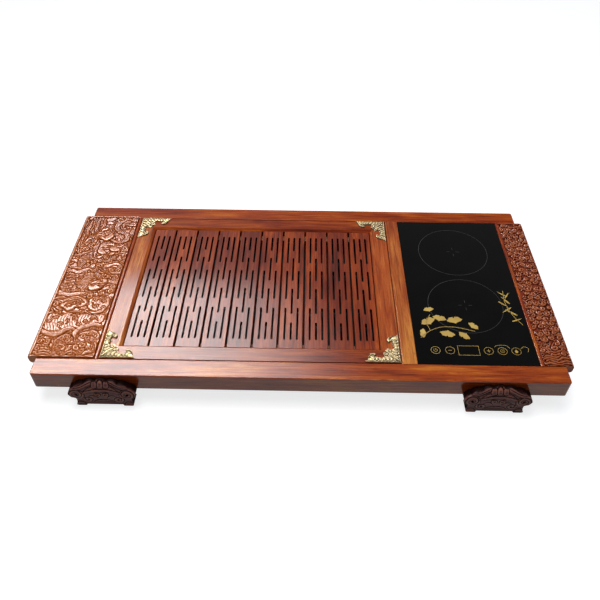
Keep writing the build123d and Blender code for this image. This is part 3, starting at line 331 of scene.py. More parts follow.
# Zinc plating is bright and slightly blue, with a faint mottle from the barrel.
zinc = plain_finish("zinc-plated steel, barrel plated", ((0.3, "#9a9da3"), (0.7, "#c3c5c9")), 1.2, 0.12, 0.32,
                    Metallic=1.0)
dress(zinc, "ledge_screws", "foot_screws", "hob_screws")

# ---------------- carved left board
# A thick rosewood board, carved by hand all over its top: clouds, a dragon, a carp, a gate tower, a peach
# and breaking waves. Its outer end is rounded, and a tongue at the front and rear sits in the rails.
CUT = 1.3                   # width of the knife cut beside a motif, mm
CARVED_DEPTH = 6.0          # lowest cut to the highest crest, mm
CARVING_CELL = 0.75         # mm
BOARD_HALF = 185.0          # half the depth of both boards, mm
END_ROUND = 5.0             # radius of the rounded outer ends, mm
EDGE_ROUND = 0.8            # and of the other lower edges, mm
LEFT_END, LEFT_INNER = -446.5, -338.0   # mm
CHISEL_MARK = 2.4 * MM      # width of a tool mark
CHISEL_DEPTH = 0.5 * MM
# The lower stops colour the cuts with painted shade; the higher ones colour the crests.
CARVED_TONES = ((0.0, "#140401"), (0.15, "#511a05"), (0.32, "#8a3d0d"), (0.6, "#ab5519"), (0.85, "#bd6e31"))
CARVED_PORE = "#3a150b"


def curve_through(points, per_leg=8):
    """A smooth curve through a few (x, y) points."""
    knots = np.array([points[0], *points, points[-1]], float)
    knots[0] = 2 * knots[1] - knots[2]
    knots[-1] = 2 * knots[-2] - knots[-3]
    t = np.linspace(0, 1, per_leg, endpoint=False)[:, None]
    legs = [0.5 * (2 * b + (c - a) * t + (2 * a - 5 * b + 4 * c - d) * t ** 2 + (3 * b - a - 3 * c + d) * t ** 3)
            for a, b, c, d in zip(knots, knots[1:], knots[2:], knots[3:])]
    return np.vstack(legs + [knots[-2:-1]])


def blank(x0, x1, y0, y1, cell, level, wobble=0.0):
    """An uncarved surface, in mm; wobble bends its lines a little, as a hand does."""
    x, y = np.meshgrid(np.linspace(x0, x1, round((x1 - x0) / cell) + 1),
                       np.linspace(y0, y1, round((y1 - y0) / cell) + 1))
    return {"x": x + wobble * (np.sin(y * 0.23 + 0.6 * np.sin(x * 0.13)) + 0.3 * np.sin(y * 0.61 + x * 0.37)),
            "y": y + wobble * (np.sin(x * 0.27 + 0.8 * np.sin(y * 0.11)) + 0.3 * np.sin(x * 0.73 - y * 0.29)),
            "h": np.full_like(x, level), "true_x": x, "true_y": y, "box": (x0, y0, cell)}


def near_path(ground, path, reach):
    """Where the surface is near a path, how far from it, how far along it, its length and the side."""
    x, y = ground["x"], ground["y"]
    near = ((x > path[:, 0].min() - reach) & (x < path[:, 0].max() + reach)
            & (y > path[:, 1].min() - reach) & (y < path[:, 1].max() + reach))
    px, py = x[near], y[near]
    best, along, side = np.full(px.shape, 1e9), np.zeros(px.shape), np.zeros(px.shape)
    steps = np.diff(path, axis=0)
    lengths = np.maximum(np.hypot(steps[:, 0], steps[:, 1]), 1e-9)
    starts = np.concatenate([[0], np.cumsum(lengths)])
    for (ax, ay), (sx, sy), length, start in zip(path, steps, lengths, starts):
        t = np.clip(((px - ax) * sx + (py - ay) * sy) / length ** 2, 0, 1)
        dx, dy = px - ax - t * sx, py - ay - t * sy
        d = np.hypot(dx, dy)
        closer = d < best
        best[closer], along[closer] = d[closer], start + t[closer] * length
        side[closer] = np.sign(sx * dy[closer] - sy * dx[closer])
    return near, best, along, starts[-1], side


def cut_in(ground, near, inside, top):
    """Leave a motif standing where inside > 0 and sink a knife cut around it."""
    beyond = np.clip(-inside / CUT, 0, 1)
    lowered = ground["h"][near] * (0.25 + 0.75 * beyond * beyond * (3 - 2 * beyond))
    ground["h"][near] = np.where(inside > 0, top * (0.25 + 0.75 * np.sqrt(np.clip(inside / 0.6, 0, 1))), lowered)


def ridge(ground, points, width, level, rise, lines=0, taper=(0.3, 0.3), depth=0.55, legs=8):
    """A band that slants from edge to edge and tapers to its ends, with grooves along it."""
    near, d, s, total, side = near_path(ground, curve_through(points, legs), width + CUT)
    t = s / total
    ends = np.clip(np.minimum(t / max(taper[0], 1e-3), (1 - t) / max(taper[1], 1e-3)), 0.12, 1)
    half = width / 2 * ends ** 0.6
    across = np.clip(d / half, 0, 1)
    top = level + rise * (1 - across ** 4) * (0.75 + 0.25 * np.sin(3.0 * t + level)) + 0.09 * width * side * across
    if lines:
        phase = side * d / half * (lines + 1) / 2 + (0.5 if lines % 2 else 0.0)
        top -= depth * np.abs(np.cos(np.pi * phase)) ** 5
    cut_in(ground, near, half - d, top)


def cloud(ground, x0, y0, size, turn, hand, level, rise, lines=1, tail=2.2):
    """A curl with a long tail, as clouds and waves are carved."""
    phi = np.linspace(0, 2.6 * np.pi, 12)
    r = size * (1 - 0.82 * phi / phi[-1])
    back = np.linspace(tail, 0.35, 4)
    path = np.vstack([
        np.stack([size * (1 + 0.30 * back - 0.12 * back ** 2), -hand * size * back], 1),
        np.stack([r * np.cos(phi), hand * r * np.sin(phi)], 1)])
    c, s = math.cos(turn), math.sin(turn)
    path = path @ np.array([[c, s], [-s, c]]) + (x0, y0)
    ridge(ground, path, size * 0.66, level, rise, lines, (0.35, 0.03), 0.4, 3)


def boss(ground, points, level, rise, edge):
    """A domed shape with the given outline."""
    ring = curve_through([*points, points[0]])
    near, d, _, _, _ = near_path(ground, ring, 3.0)
    x, y = ground["x"][near], ground["y"][near]
    inside = np.zeros(x.shape, bool)
    for (ax, ay), (bx, by) in zip(ring, ring[1:]):
        inside ^= ((ay > y) != (by > y)) & (x < (bx - ax) * (y - ay) / (by - ay + 1e-12) + ax)
    depth = np.where(inside, d, -d)
    cut_in(ground, near, depth, level + rise * np.sqrt(1 - (1 - np.clip(depth / edge, 0, 1)) ** 2))
    return near, depth


def combed(ground, points, level, rise, edge, pitch, lean):
    """A low domed shape with fine grooves across it, such as leaves or falling spray."""
    near, inside = boss(ground, points, level, rise, edge)
    x, y = ground["x"][near], ground["y"][near]
    groove = np.abs(np.cos(np.pi * (x + lean * y + 1.5 * np.sin(0.16 * y)) / pitch)) ** 6
    ground["h"][near] -= 0.42 * groove * np.clip(inside / 1.5, 0, 1)


def eye(ground, x0, y0, radius, level, rise, pitch=2.6, hand=1, turn=0.0):
    """A dome with a spiral groove: an eye, or the heart of a scroll."""
    near = (abs(ground["x"] - x0) < radius + CUT) & (abs(ground["y"] - y0) < radius + CUT)
    dx, dy = ground["x"][near] - x0, ground["y"][near] - y0
    r = np.hypot(dx, dy)
    top = level + rise * np.sqrt(np.clip(1 - (r / radius) ** 2 * 0.8, 0, 1))
    winding = (r / pitch - (np.arctan2(dy, dx) * hand - turn) / (2 * np.pi)) % 1.0
    groove = np.exp(-((winding - 0.5) * pitch / 0.42) ** 2) * np.clip(radius - 0.5 - r, 0, 1)
    cut_in(ground, near, radius - r, top - 0.75 * groove)


def beads(ground, points, radius, level, step):
    """A string of small domes."""
    path = curve_through(points)
    lengths = np.concatenate([[0], np.cumsum(np.hypot(*np.diff(path, axis=0).T))])
    for s in np.arange(0, lengths[-1] + 1e-6, step):
        dx = ground["x"] - np.interp(s, lengths, path[:, 0])
        dy = ground["y"] - np.interp(s, lengths, path[:, 1])
        near = (abs(dx) < radius + CUT) & (abs(dy) < radius + CUT)
        r = np.hypot(dx[near], dy[near])
        cut_in(ground, near, radius - r, level + radius * 0.5 * np.sqrt(np.clip(1 - (r / radius) ** 2, 0, 1)))


def scales(ground, points, width, level, rise, pitch):
    """A rounded body covered with overlapping scales."""
    near, d, s, total, side = near_path(ground, curve_through(points), width + CUT)
    t = s / total
    half = width / 2 * np.clip(np.minimum(t / 0.25, (1 - t) / 0.25), 0.3, 1) ** 0.5
    row = np.floor(s / pitch)
    across = (side * d / pitch + 0.5 * (row % 2)) % 1.0 - 0.5
    r = np.hypot((s / pitch) % 1.0, across * 1.1)
    top = level + rise * np.sqrt(1 - np.clip(d / half, 0, 1) ** 2) + np.where(r < 0.62, 0.9 * r, -0.25)
    cut_in(ground, near, half - d, top)


def streaming_clouds(ground, count, seed, upright, sizes, reach=(6, 15)):
    """The background of such carving: short bands and curls in every gap, lowest first."""
    chance = np.random.default_rng(seed)
    x_low, y_low = ground["true_x"].min() + 3, ground["true_y"].min() + 3
    x_high, y_high = ground["true_x"].max() - 3, ground["true_y"].max() - 3
    for order in range(count):
        x, y = chance.uniform(x_low, x_high), chance.uniform(y_low, y_high)
        lean = (1.45 if upright(x, y) else 0.1) + chance.uniform(-0.55, 0.55)
        level = 1.9 + 1.2 * order / count + chance.uniform(0, 0.5)
        if chance.random() < 0.42:
            cloud(ground, x, y, chance.uniform(*sizes), chance.uniform(0, 6.28), chance.choice([-1, 1]), level,
                  chance.uniform(0.8, 1.3), int(chance.integers(0, 2)))
        else:
            length, bow = chance.uniform(*reach), chance.uniform(-3.5, 3.5)
            c, s = math.cos(lean), math.sin(lean)
            shape = ((-length, 0), (-0.4 * length, bow), (0.4 * length, 0.6 * bow), (length, -bow))
            ridge(ground, [(x + a * c - b * s, y + a * s + b * c) for a, b in shape],
                  chance.uniform(sizes[0], 1.25 * sizes[1]), level, chance.uniform(0.7, 1.2),
                  lines=int(chance.integers(1, 4)))


def plain_edges(ground, outer, rim, lip):
    """The uncarved border: a rim along the outer end and a thin lip at the front and rear, in mm."""
    x, y, h = ground["true_x"], ground["true_y"], ground["h"]
    for inset, level in ((rim + 0.5 * np.sin(y * 0.11) - np.abs(x - outer), 4.4),
                         (lip + 0.4 * np.sin(x * 0.31) + np.abs(y) - BOARD_HALF, 3.8)):
        depth = np.clip(inset / 1.3, 0, 1)
        h = np.where(depth > 0, np.maximum(h * (1 - depth) * 0.6, level * np.sqrt(1 - (1 - depth) ** 2)), h)
    ground["h"] = np.clip(h, 0, CARVED_DEPTH)


left = blank(LEFT_END, LEFT_INNER, -BOARD_HALF, BOARD_HALF, CARVING_CELL, 2.4, wobble=0.8)
streaming_clouds(left, 330, 11, lambda x, y: x < -398 and y > 55, (4.2, 7.4), (8, 19))
# upper field: hair lines that run front to back
for x, y0, y1, bow in ((-435, 100, 172, 2), (-428, 112, 176, -3), (-421, 120, 182, 2.5), (-414, 132, 184, -2),
                       (-406, 140, 184, 3), (-437, 55, 72, 2), (-404, 70, 112, 2), (-398, 58, 104, -2)):
    ridge(left, [(x, y0), (x + bow, (y0 + y1) / 2), (x + bow * 0.3, y1)], 7.0, 2.0, 1.2, lines=3)
# the dragon: body, crest, head, horns and whisker
scales(left, [(-342, 170), (-356, 176), (-370, 168), (-376, 152), (-366, 138), (-352, 130), (-347, 116),
              (-357, 106), (-372, 108), (-384, 118)], 11, 3.0, 1.0, 3.0)
for x, y, turn in ((-352, 181, 1.4), (-366, 178, 1.9), (-377, 166, 2.7), (-381, 150, 3.1), (-372, 138, 3.9),
                   (-346, 126, 0.2), (-342, 114, -0.1), (-352, 101, -1.4), (-366, 101, -1.6)):
    ridge(left, [(x, y), (x + 3 * math.cos(turn), y + 3 * math.sin(turn)),
                 (x + 6 * math.cos(turn + 0.5), y + 6 * math.sin(turn + 0.5))], 3.0, 2.9, 1.0)
boss(left, [(-398, 131), (-390, 136), (-380, 132), (-375, 122), (-378, 112), (-388, 108), (-396, 112),
            (-404, 118)], 3.4, 1.6, 4)
eye(left, -389, 125, 2.4, 5.0, 0.8, pitch=3.4)
ridge(left, [(-404, 117), (-397, 121), (-390, 118)], 2.0, 4.9, 0.8)
for turn in (2.2, 2.6, 3.0, 1.8):
    ridge(left, [(-381 + 3 * math.cos(turn), 130 + 3 * math.sin(turn)),
                 (-381 + 11 * math.cos(turn), 130 + 10 * math.sin(turn)),
                 (-381 + 17 * math.cos(turn + 0.3), 130 + 16 * math.sin(turn + 0.3))], 3, 3.3, 1.1)
beads(left, [(-433, 121), (-422, 127), (-412, 134), (-405, 143), (-397, 151)], 1.9, 2.6, 3.7)
for x, y, size, turn, hand in ((-432, 92, 5.6, 0.2, 1), (-421, 84, 6, 1.5, -1), (-412, 92, 5, 2.2, 1),
                               (-431, 76, 5.5, 0.7, 1), (-420, 69, 5, 3.3, -1)):
    cloud(left, x, y, size, turn, hand, 2.8, 1.3)
ridge(left, [(-442, 66), (-430, 65), (-420, 72), (-408, 78)], 5.5, 3.0, 1.2, lines=1)
# slanting rocks, and boulders below them
boss(left, [(-398, 82), (-390, 84), (-379, 72), (-384, 66), (-396, 74)], 3.4, 1.1, 3.0)
boss(left, [(-372, 90), (-358, 88), (-354, 79), (-364, 76), (-374, 82)], 3.3, 1.1, 3.0)
boss(left, [(-371, 75), (-362, 74), (-364, 67), (-373, 66)], 3.0, 1.1, 2.5)
for x, y, size in ((-360.5, 60, 4.4), (-349, 56, 5.0), (-342, 66, 3.6), (-366, 48, 4.4), (-352, 46, 3.6),
                   (-343, 46, 3.6), (-352, 70, 3)):
    cloud(left, x, y, size, x, 1 if size > 4 else -1, 3.0, 1.3, 0, 1.2)
# a folded wing
for feather in range(6):
    r = 17.0 - 2.6 * feather
    ridge(left, [(-408 + r * math.cos(a), 47 + r * 1.15 * math.sin(a)) for a in (4.5, 3.8, 3.2, 2.5, 1.8, 1.1)],
          3.3, 2.3 + 0.35 * feather, 1.0, lines=1)
eye(left, -407, 46, 3.6, 4.2, 1.1, turn=0.3)
ridge(left, [(-443, 18), (-430, 20), (-418, 17), (-402, 25), (-390, 22)], 8, 3.4, 0.6, lines=4)
ridge(left, [(-374, 30), (-360, 38), (-350, 40), (-339, 36)], 7.5, 3.4, 0.6, lines=4)
beads(left, [(-383, 30), (-376, 24), (-368, 19), (-360, 14), (-352, 8)], 2.1, 3.0, 4.4)
cloud(left, -346, 24, 5, 0.4, 1, 2.9, 1.3)
cloud(left, -345, 6, 5, 2.4, -1, 2.9, 1.3)
# the gate tower, with five courses and two rows of posts
boss(left, [(-438, 6), (-420, 7), (-417, -14), (-419, -27), (-438, -28)], 2.2, 0.8, 1.5)
for course in range(5):
    y = 4.5 - 7.4 * course
    ridge(left, [(-439, y), (-429, y - 1.3), (-418.5, y)], 2.8, 3.2 + 0.1 * (course % 2), 1.0)
for post in range(6):
    for y in (1, -13.5):
        ridge(left, [(-437 + 3.3 * post, y), (-436.8 + 3.3 * post, y - 3)], 1.5, 2.8, 0.5, taper=(0.05, 0.05))
# the great carp: mane, cheek, eye and lips
boss(left, [(-404, 8), (-396, 17), (-381, 15), (-367, 8), (-359, -3), (-357, -16), (-366, -27), (-377, -35),
            (-389, -37), (-400, -31), (-405, -14)], 2.2, 1.0, 5)
for hair in range(8):
    r = 24.5 - 2.35 * hair
    ridge(left, [(-379 + r * math.cos(a) * 1.05, -13 + r * 1.25 * math.sin(a))
                 for a in (4.2, 3.75, 3.2, 2.7, 2.15, 1.6 - 0.05 * hair)], 3.0, 2.7 + 0.24 * hair, 0.95)
boss(left, [(-386, -11), (-380, -7), (-370, -10), (-360, -9), (-359, -15), (-365, -25), (-374, -31),
            (-383, -33), (-388, -24)], 4.4, 1.2, 4)
eye(left, -379.5, -20, 2.1, 5.0, 0.8, pitch=3.5)
for path, width, level, rise in (
        ([(-385, -17.5), (-379, -15.5), (-374, -17.5)], 1.3, 5.0, 0.5),
        ([(-373, -14.5), (-366, -15.2), (-358, -13)], 1.6, 5.1, 0.6),
        ([(-370, -20), (-364, -21), (-360, -18)], 1.2, 4.9, 0.4),
        ([(-386, 8), (-377, 3), (-369, 5), (-361, 12)], 3.8, 3.8, 1.2),
        ([(-372, 8), (-364, 2), (-357, 4), (-350, -2)], 3.4, 3.6, 1.1)):
    ridge(left, path, width, level, rise, lines=1 if width > 3 else 0)
beads(left, [(-387, -4), (-378, -1), (-369, -4.5)], 1.5, 4.8, 3.2)
# long clouds, then the peach with its inner lines
ridge(left, [(-443, -38), (-430, -42), (-412, -43), (-396, -40), (-386, -36)], 9, 3.8, 0.6, lines=5)
ridge(left, [(-443, -56), (-437, -51), (-428, -50), (-418, -51)], 5.5, 3.2, 1.2, lines=1)
cloud(left, -434, -66, 6, 0.8, 1, 2.8, 1.2)
boss(left, [(-427, -66), (-420, -54), (-408, -47), (-394, -47), (-383, -55), (-381, -67), (-388, -73),
            (-396, -74), (-402, -81), (-410, -83), (-417, -77), (-425, -74)], 3.2, 1.6, 7)
ridge(left, [(-422, -65), (-411, -56), (-398, -54), (-386, -62)], 3.8, 4.5, 0.6, lines=1, depth=0.35)
ridge(left, [(-417, -71), (-409, -62), (-398, -60), (-390, -67)], 3.4, 4.6, 0.6, lines=1, depth=0.35)
for x, y, size, turn in ((-410, -71, 3.6, 0.3), (-402, -66, 3.4, 2), (-394, -68, 2.8, 1)):
    cloud(left, x, y, size, turn, 1, 4.6, 0.9, 0, 1.0)
ridge(left, [(-418, -87), (-407, -90), (-396, -84), (-384, -86)], 4.4, 3.6, 1.2, lines=1)
ridge(left, [(-437, -72), (-431, -80), (-424, -88)], 4.6, 3.2, 1.2, lines=1)
cloud(left, -430, -94, 4.8, 2.8, -1, 3.0, 1.2)
# leaves at the right
combed(left, [(-378, -50), (-368, -44), (-356, -48), (-345, -44), (-341, -60), (-343, -76), (-354, -82), (-368, -80),
              (-377, -72)], 2.6, 1.0, 6, 4.7, -0.12)
for x, y, size, turn in ((-366, -53, 4.4, 0.6), (-351, -57, 4.0, 2.2), (-362, -69, 4.2, 3.6), (-348, -74, 3.8, 5.0)):
    cloud(left, x, y, size, turn, 1, 3.2, 1.0, 1, 2.4)
for x, y, size, turn, hand in ((-378, -47, 6.0, 1.2, 1), (-347, -31, 6.0, 2.2, -1), (-361, -40, 5.0, 0.2, 1)):
    cloud(left, x, y, size, turn, hand, 3.3, 1.4)
ridge(left, [(-372, -84), (-360, -87), (-350, -82), (-342, -72)], 6, 3.5, 1.3, lines=2)
# breaking wave: a band of spray over two crests, with boulders in the dark hollows under them
combed(left, [(-443, -93), (-434, -88), (-420, -91), (-405, -87), (-392, -91), (-376, -88), (-360, -91), (-345, -88),
              (-340, -102), (-350, -112), (-366, -114), (-380, -122), (-392, -120), (-404, -124), (-420, -131),
              (-434, -127), (-443, -118)], 2.5, 0.9, 7, 4.9, 0.22)
cloud(left, -344, -122, 4.6, 1.0, 1, 3.0, 1.0)
for curl in range(9):
    cloud(left, -434 + 10.6 * curl, -106 + 8 * math.sin(2.1 * curl), 3.6 + 0.5 * math.sin(3.7 * curl), 1.9 * curl,
          1 if curl % 2 else -1, 3.0, 0.9, 1, 2.6)
ridge(left, [(-443, -127), (-432, -134), (-420, -139), (-408, -134), (-398, -127), (-389, -124), (-381, -131)],
      9.0, 4.1, 0.9, lines=4, taper=(0.1, 0.2))
ridge(left, [(-379, -152), (-382, -138), (-378, -127), (-370, -120), (-356, -115), (-340, -117)],
      8.6, 4.2, 0.9, lines=4, taper=(0.25, 0.1))
boss(left, [(-414, -145), (-403, -137), (-393, -134), (-384, -142), (-380, -154), (-392, -157), (-404, -153)],
     0.8, 0.8, 5)
boss(left, [(-376, -146), (-374, -133), (-362, -126), (-350, -125), (-341, -133), (-342, -146), (-356, -151),
            (-368, -150)], 0.8, 0.8, 5)
for x, y, size in ((-402, -146, 4.6), (-392.5, -141, 4.4), (-389, -150, 4.8), (-397.5, -153, 3.8),
                   (-368, -139, 5), (-358, -133, 4.6), (-349, -137, 4.4), (-359, -144, 4.4), (-346, -146, 3.4)):
    cloud(left, x, y, size, x, 1 if x < -380 else -1, 2.0, 1.3, 0, 0.9)
beads(left, [(-356, -151), (-349, -154), (-342, -152)], 1.7, 3.0, 3.2)
# a lion's mask in the middle of the front, and a stepped altar with a vase at its left
for curl in range(9):
    turn = 0.5 + curl * 0.62
    cloud(left, -398.5 + 9.5 * math.cos(turn), -167.5 + 10 * math.sin(turn), 3.3, turn, 1 if curl % 2 else -1,
          2.7, 1.2, 0, 0.8)
boss(left, [(-406, -162), (-401, -158), (-394, -158), (-390, -164), (-391, -174), (-398, -178), (-405, -174)],
     3.3, 1.6, 5)
for x in (-402, -395):
    eye(left, x, -165, 1.7, 4.8, 0.8, pitch=3.5)
ridge(left, [(-400.2, -171.0), (-398.5, -164), (-396.8, -171.0)], 2.0, 4.6, 0.9)
ridge(left, [(-404, -173), (-398.5, -175.5), (-393, -173)], 1.8, 4.6, 0.7)
beads(left, [(-388, -156.5), (-380, -158), (-372, -156.5)], 1.8, 3.4, 3.4)
for step in range(4):
    half, y = 11.5 - 2.0 * step, -179.5 + 5.2 * step
    ridge(left, [(-423 - half, y), (-423, y + 0.4), (-423 + half, y)], 5.0, 2.4 + 0.6 * step, 1.0,
          taper=(0.04, 0.04), lines=1, depth=0.3)
boss(left, [(-428.5, -160), (-427, -150), (-419.5, -149), (-417, -158), (-422, -162)], 3.6, 1.3, 3)
eye(left, -422.6, -155, 2.4, 5.0, 0.7, pitch=3)
for x, y, size, turn, hand in ((-434.5, -153, 5.2, 0.5, 1), (-437, -168, 4.6, 2, -1), (-412, -152, 4.2, 1.2, -1),
                               (-371, -166, 6.2, 1.0, 1), (-361, -160, 5.8, 2.0, 1), (-378, -178, 5.2, 0.2, 1),
                               (-351, -168, 5.0, 3.0, -1), (-345, -161, 4.2, 1.0, -1), (-362, -173, 4.6, 5, 1)):
    cloud(left, x, y, size, turn, hand, 3.1, 1.4, 1, 1.6)
ridge(left, [(-389, -183), (-381, -176), (-371, -176), (-364, -183)], 4.0, 3.8, 1.1)
ridge(left, [(-358, -184), (-352, -176), (-340, -173)], 6.5, 3.4, 1.2, lines=3)
ridge(left, [(-346, -150), (-340.5, -158), (-339.8, -170)], 3.4, 3.0, 1.0)
plain_edges(left, LEFT_END, 6.5, 2.2)


def height_at(ground, x, y):
    """The height of the carving at points given in mm."""
    x0, y0, cell = ground["box"]
    rows, columns = ground["h"].shape
    u = np.clip((x - x0) / cell, 0, columns - 1.001)
    v = np.clip((y - y0) / cell, 0, rows - 1.001)
    i, j = u.astype(int), v.astype(int)
    u, v, h = u - i, v - j, ground["h"]
    return ((h[j, i] * (1 - u) + h[j, i + 1] * u) * (1 - v) + (h[j + 1, i] * (1 - u) + h[j + 1, i + 1] * u) * v)


def hollows(ground, passes=14):
    """How much the carving stands above its own surroundings, 0 in a cut and 1 on a crest."""
    level = ground["h"].copy()
    for order in range(passes):
        edge = np.pad(level, 1, mode="edge")
        level = (edge[:-2, 1:-1] + edge[2:, 1:-1] + edge[1:-1, :-2] + edge[1:-1, 2:]) / 4
        if order == 2:
            groove = np.clip(ground["h"] - level, -0.5, 0.1)
    return {**ground, "h": np.clip(0.5 + (ground["h"] - level) / 2.8 + groove, 0, 1)}


def points_of(piece):
    """The vertices of a piece, one row each."""
    points = np.empty(3 * len(piece.data.vertices))
    piece.data.vertices.foreach_get("co", points)
    return points.reshape(-1, 3)


def set_carving(piece, points, crest):
    """Move the vertices to their carved places, and store how far each stands out of its surroundings."""
    piece.data.vertices.foreach_set("co", points.ravel())
    piece.data.attributes.new("crest", "FLOAT", "POINT").data.foreach_set("value", crest)
    piece.data.update()


def carved_board(name, x0, x1, top, bottom, outer, ground, wood):
    """A board whose top has the given carving and whose outer end is rounded, all sizes in mm."""
    shape = bmesh.new()
    bmesh.ops.create_grid(shape, x_segments=round((x1 - x0) / CARVING_CELL),
                          y_segments=round(2 * BOARD_HALF / CARVING_CELL), size=0.5)
    bmesh.ops.scale(shape, vec=((x1 - x0) * MM, 2 * BOARD_HALF * MM, 1), verts=shape.verts)
    bmesh.ops.translate(shape, vec=((x0 + x1) / 2 * MM, 0, top * MM), verts=shape.verts)

    def falls(x):
        """How far the rounded end falls away at x."""
        short = np.clip(END_ROUND - np.abs(x - outer), 0, None)
        return END_ROUND - np.sqrt(END_ROUND ** 2 - short ** 2)

    low, high = (END_ROUND, EDGE_ROUND) if outer == x0 else (EDGE_ROUND, END_ROUND)
    rim = [edge for edge in shape.edges if edge.is_boundary]
    for turn in (0, 25, 50, 75, 90):
        rim = bmesh.ops.extrude_edge_only(shape, edges=rim)["geom"]
        inset = 1 - math.cos(math.radians(turn))
        reach = BOARD_HALF - EDGE_ROUND * inset
        for vert in (item for item in rim if isinstance(item, bmesh.types.BMVert)):
            x = min(max(vert.co.x / MM, x0 + low * inset), x1 - high * inset)
            vert.co = (x * MM, min(max(vert.co.y, -reach * MM), reach * MM),
                       (bottom + falls(x) + EDGE_ROUND * (1 - math.sin(math.radians(turn)))) * MM)
        rim = [item for item in rim if isinstance(item, bmesh.types.BMEdge)]
    bmesh.ops.contextual_create(shape, geom=rim)
    bmesh.ops.remove_doubles(shape, verts=shape.verts, dist=0.02 * MM)
    bmesh.ops.recalc_face_normals(shape, faces=shape.faces)
    piece = mesh_piece(name, shape, wood, 50)
    points = points_of(piece)
    carved = points[:, 2] > (top - 0.5) * MM
    x, y = points[carved, 0] / MM, points[carved, 1] / MM
    points[carved, 2] = (top - CARVED_DEPTH + height_at(ground, x, y) - falls(x)) * MM
    crest = np.full(len(points), 0.5)
    crest[carved] = height_at(hollows(ground), x, y)
    set_carving(piece, points, crest)
    return piece


def carved_rosewood(name, along, tones, shift, coat=0.36, gloss=0.23, painted_front_light=0.0, haze=0.012):
    """Carved and lacquered rosewood: the cuts take dark tones and lose their coat, as painted shade, while the
    crests, rubbed smoother, keep the gloss.

    The painted front light makes the stock paler towards its front end, and haze is the dull sheen under the gloss."""
    made, tree = new_material(name)
    crest = add_node(tree, "Attribute", output="Fac", attribute_name="crest")
    streak = grain_noise(tree, along, GRAIN_LENGTH / 3, GRAIN_WIDTH, shift, detail=4.0, distortion=0.6)
    pore = grain_noise(tree, along, PORE_LENGTH, PORE_WIDTH, shift, detail=1.0)
    grain = add_node(tree, "MapRange", (streak, 0.3, 0.7, -0.12, 0.12))
    place = add_node(tree, "TexCoord", output="Object")
    back = add_node(tree, "SeparateXYZ", (place,), "Y")
    level = add_node(tree, "Math", (crest, grain))
    # Painted light: the carving grows paler towards the front end.
    front_lit = add_node(tree, "Math", (back, -painted_front_light, level), operation="MULTIPLY_ADD")
    short = add_node(tree, "MapRange", (pore, *PORE_LIMITS, 0.0, 0.35))
    chisel = add_node(tree, "TexNoise", (place, 1 / CHISEL_MARK, 2.0))
    marks = add_node(tree, "Bump", {"Height": chisel, "Strength": 0.35, "Distance": CHISEL_DEPTH})
    tone = add_node(tree, "ValToRGB", (front_lit,), tones=tones)
    # Painted shade: the cuts, low in crest, take the dark tones and no coat.
    surface(tree, Specular_IOR_Level=haze, Coat_Roughness=gloss, Normal=marks, Coat_Normal=marks,
            Base_Color=add_node(tree, "Mix", (short, tone, srgb(CARVED_PORE)), data_type="RGBA"),
            Roughness=add_node(tree, "MapRange", (crest, 0, 1, 0.6, 0.34)),
            Coat_Weight=add_node(tree, "MapRange", (crest, 0.3, 0.6, 0.0, coat)))
    return made


# The left board's cuts carry painted shade, and it is paler towards its front end: painted light.
left_board = carved_board("carved_board_left", LEFT_END, LEFT_INNER, 68.0, 47.0, LEFT_END, left, carved_rosewood(
    "carved rosewood, left board", "Y", CARVED_TONES, (0.2, 0.9, 0.4), painted_front_light=0.85, haze=0.024))
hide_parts("carved_panel_left")
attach(left_board, "table")

# ---------------- carved right board
# A narrower and slightly lower board of the same make. It is covered with rows of small curled clouds,
# closer and rounder than on the left board, with a band of running water at the front.
RIGHT_INNER, RIGHT_END = 397.5, 446.5   # mm
ROW_PITCH, CURL_PITCH = 12.2, 12.4      # between two rows of clouds and two clouds of a row, mm
# The lower stops colour the cuts with painted shade.
RIGHT_TONES = ((0.0, "#100302"), (0.24, "#370d04"), (0.42, "#651f0a"), (0.62, "#813011"), (0.85, "#a55a30"))

right = blank(RIGHT_INNER, RIGHT_END, -BOARD_HALF, BOARD_HALF, CARVING_CELL, 1.6, wobble=0.6)
streaming_clouds(right, 230, 5, lambda x, y: False, (2.8, 4.6), (5, 10))
for row in range(29):
    for column in range(4):
        chance = math.sin(12.9898 * row + 78.233 * column) * 43758.5453 % 1.0
        x = 402.5 + CURL_PITCH * (column + 0.5 * (row % 2)) - 1.0 + 3.0 * (chance - 0.5)
        y = -150 + ROW_PITCH * row + 3.4 * math.sin(7.0 * chance)
        if x > 444 or y > 182:
            continue
        if chance < 0.72:
            cloud(right, x, y, 4.6 + 1.3 * chance, 6.28 * chance, 1 if chance > 0.35 else -1, 3.1, 1.5, 0, 1.8)
        elif chance < 0.90:
            eye(right, x, y, 4.4, 3.5, 1.5, turn=6 * chance)
        else:
            beads(right, [(x - 4, y - 1), (x, y + 1.5), (x + 4, y)], 1.7, 3.2, 3.8)
for row in range(7):
    y, odd, bow = -181 + 5.4 * row, row % 2, 2.0 * math.sin(1.7 * row)
    ridge(right, [(399 + 3 * odd, y), (409, y + 2.4 + bow), (421, y - 1.8), (432, y + 2.0 - bow), (444, y)],
          4.4, 2.9 + 0.25 * odd, 1.3, lines=odd, taper=(0.08, 0.1))
for x, y, size, turn in ((404, -152, 5.4, 0.6), (425, -146, 6.0, 2.4), (437, -160, 4.6, 1.0)):
    cloud(right, x, y, size, turn, 1, 3.6, 1.5)
plain_edges(right, RIGHT_END, 2.4, 1.6)
# The right board's cuts carry painted shade too.
right_board = carved_board("carved_board_right", RIGHT_INNER, RIGHT_END, 65.0, 45.0, RIGHT_END, right,
                           carved_rosewood("carved rosewood, right board", "Y", RIGHT_TONES, (1.7, 0.3, 0.9), 0.25))
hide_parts("carved_panel_right")
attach(right_board, "table")

